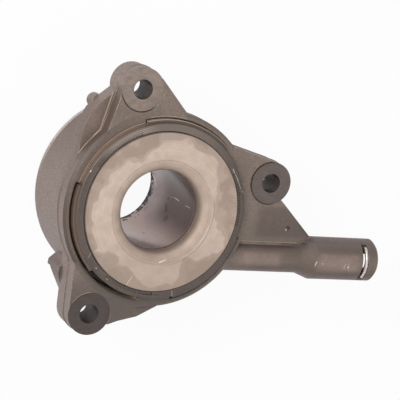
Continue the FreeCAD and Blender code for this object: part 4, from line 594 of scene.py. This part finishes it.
def moulded_carrier():
    """Glass-filled polyamide, moulded: dark grey-brown with short pale fibre
    streaks, a dull sheen, rubbed lighter edges and a few knocks."""
    material, tree, shader, coords = new_material("glass_filled_polyamide", 0.0, 0.48)
    place = about_axis(tree, coords)
    far, angle = place.far, place.angle
    skin = laid(tree, "#3f322b", "#4a3c33", rising(mottle(tree, coords, 8, 2), 0.35, 0.65))
    # painted light on the upper side and along its outer edge, at the front only
    above = amount(tree, rising(place.z, 14.0, 15.5))
    worn = amount(tree, between_degrees(tree, angle, 98, 70, 50), above)
    skin = laid(tree, skin, "#74675c", worn, 0.75)
    skin = laid(tree, skin, "#7d6c60", worn, rising(far, CARRIER_R, CARRIER_R + 0.2), 0.7)
    faint = streaks(tree, far, FAINT_PITCH)
    skin = laid(tree, skin, "#71665e", rising(faint, 0.45, 0.7, 0.35))
    # The glass fibres are really under 0.4 mm, and are drawn at 1.1 mm so that they show.
    fibres = mottle(tree, coords, 1.1, 4)
    skin = laid(tree, skin, "#7b7068", rising(fibres, 0.5, 0.8, 0.3))
    turned = add(tree, "ShaderNodeMath", {0: amount(tree, far, 2 * math.pi / TURNED_PITCH)},
                 operation="SINE")
    skin = laid(tree, skin, "#bdafa2", rising(turned, 0.2, 0.9),
                within(tree, far, 35.6, 38.1, 0.2),
                between_degrees(tree, angle, 122, 24, 14), 0.75)
    edges, rounded = worn_edges(tree, 0.2 * MM)
    skin = laid(tree, skin, "#94887e", edges, 0.4)
    skin = carrier_wall_shades(tree, place, above, skin)
    # painted shade of a short groove in the rim
    skin = laid(tree, skin, "#211b19", within(tree, far, 36.5, 36.8, 0.12),
                between_degrees(tree, angle, 270.5, 6.5, 1), 0.85)
    relief = add(tree, "ShaderNodeBump",
                 {"Height": fibres, "Distance": 0.05 * MM, "Strength": 0.3,
                  "Normal": rounded})
    feed(tree, shader, {"Base Color": marked(tree, coords, skin, CARRIER_MARKS),
                        "Roughness": amount(tree, (fibres, 0.3, 0.7, 0.42, 0.56)),
                        "Normal": relief})
    return material


def clouded(name, metallic, pale, dark, roughness, less_rough, grain_mm, bump_mm, strength):
    """Even finish with two near tones in small clouds, which also vary its sheen."""
    material, tree, shader, coords = new_material(name, metallic, roughness)
    clouds = mottle(tree, coords, grain_mm, 4)
    sheen = (clouds, 0.2, 0.8, roughness - less_rough, roughness + 0.08)
    relief = add(tree, "ShaderNodeBump",
                 {"Height": clouds, "Distance": bump_mm * MM, "Strength": strength})
    feed(tree, shader, {"Base Color": laid(tree, pale, dark, rising(clouds, 0.3, 0.7)),
                        "Roughness": amount(tree, sheen), "Normal": relief})
    return material


def plain_steel(name, pale, dark, roughness, grain_mm=2.0):
    """Hardened or spring steel: even grey with cloudy tempering shades."""
    return clouded(name, 0.8, pale, dark, roughness, 0.06, grain_mm, 0.02, 0.2)


def moulded(name, pale, dark, roughness):
    """Moulded plastic or rubber: even colour with a faint moulded grain, which is
    really about 0.2 mm and is drawn at 1.5 mm so that it shows."""
    return clouded(name, 0.0, pale, dark, roughness, 0.05, 1.5, 0.04, 0.3)


def dress():
    """Give every piece of the assembly the finish of its real material."""
    finishes = (
        (cast_housing(), ("housing",)),
        (ground_steel(), ("thrust_ring",)),
        (drawn_tube(), ("guide_tube",)),
        (moulded_carrier(), ("bearing_carrier",)),
        (plain_steel("hardened_steel", "#a39a92", "#8d847d", 0.3),
         ("bearing_fixed_ring", "bearing_balls", "channel_plugs", "spring_seat",
          "bearing_rear_shield")),
        (plain_steel("spring_steel", "#6f6763", "#57504d", 0.38),
         ("preload_spring", "bearing_retainer", "wave_washer")),
        (plain_steel("bright_spring_wire", "#d6cbc4", "#a79c96", 0.34, 1.2), ("port_clip",)),
        (moulded("nitrile_rubber", "#24211f", "#2d2a28", 0.6),
         ("tube_seal_ring", "piston_seal", "piston_wiper", "bearing_front_seal")),
        (moulded("black_polyamide", "#262423", "#302d2b", 0.48), ("piston", "seal_clasp")),
        (moulded("filled_guide_band", "#a2937c", "#8d7f6a", 0.5),
         ("piston_guide_band", "ball_cage")),
    )
    for finish, names in finishes:
        for name in names:
            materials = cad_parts[name].data.materials
            materials.clear()
            materials.append(finish)


def camera():
    """Camera at the photograph's viewing angle."""
    data = bpy.data.cameras.new("camera")
    data.sensor_width = 36.0
    data.lens = PHOTO_LENS
    data.clip_end = 20.0
    holder = bpy.data.objects.new("camera", data)
    holder.location = PHOTO_PLACE
    holder.rotation_euler = Euler([math.radians(turn) for turn in PHOTO_TURN])
    bpy.context.scene.collection.objects.link(holder)
    bpy.context.scene.camera = holder


def lamp(name, place, target, size, energy):
    """Soft square white lamp at a place, turned to a target."""
    data = bpy.data.lights.new(name, "AREA")
    data.size = size
    data.energy = energy
    holder = bpy.data.objects.new(name, data)
    holder.location = place
    aim = Vector(target) - Vector(place)
    holder.rotation_euler = aim.to_track_quat("-Z", "Y").to_euler()
    bpy.context.scene.collection.objects.link(holder)


def seen_directly(tree):
    """One for rays from the camera and for those mirrored or passed on by a surface."""
    path = add(tree, "ShaderNodeLightPath").outputs
    seen = add(tree, "ShaderNodeMath", {0: path["Is Camera Ray"], 1: path["Is Glossy Ray"]},
               operation="MAXIMUM")
    return add(tree, "ShaderNodeMath", {0: seen, 1: path["Is Transmission Ray"]},
               operation="MAXIMUM")


def floor():
    """Pale floor under the part, nearly white where it is seen."""
    corners = np.array([(-1, -1), (1, -1), (1, 1), (-1, 1)]) * FLOOR_HALF_WIDTH
    verts = np.column_stack([corners, np.full(4, REAR_Z * MM - FLOOR_DROP)])
    mesh = bpy.data.meshes.new("floor")
    mesh.from_pydata(verts.tolist(), [], [(0, 1, 2, 3)])
    sheet = bpy.data.objects.new("floor", mesh)
    bpy.context.scene.collection.objects.link(sheet)
    material = bpy.data.materials.new("pale_paper")
    material.use_nodes = True
    tree = material.node_tree
    tree.nodes.clear()
    share = amount(tree, seen_directly(tree), FLOOR_GLOW)
    paper = add(tree, "ShaderNodeBsdfDiffuse", {"Color": linear("#ededed")})
    glow = add(tree, "ShaderNodeEmission", {"Color": linear("#ffffff"), "Strength": 1.0})
    mixed = add(tree, "ShaderNodeMixShader", {0: share, 1: paper, 2: glow})
    add(tree, "ShaderNodeOutputMaterial", {"Surface": mixed})
    mesh.materials.append(material)


def surroundings():
    """White surroundings to the eye, which give only a soft light to the part."""
    world = bpy.data.worlds.new("studio")
    bpy.context.scene.world = world
    world.use_nodes = True
    tree = world.node_tree
    tree.nodes.clear()
    soft = add(tree, "ShaderNodeBackground",
               {"Color": linear("#f9f9ff"), "Strength": SOFT_LIGHT})
    white = add(tree, "ShaderNodeBackground", {"Color": linear("#ffffff"), "Strength": 1.0})
    mixed = add(tree, "ShaderNodeMixShader", {0: seen_directly(tree), 1: soft, 2: white})
    add(tree, "ShaderNodeOutputWorld", {"Surface": mixed})


camera()
dress()
floor()
surroundings()
for lamp_name, settings in LAMPS.items():
    lamp(lamp_name, *settings)
bpy.context.scene.view_settings.view_transform = "Standard"
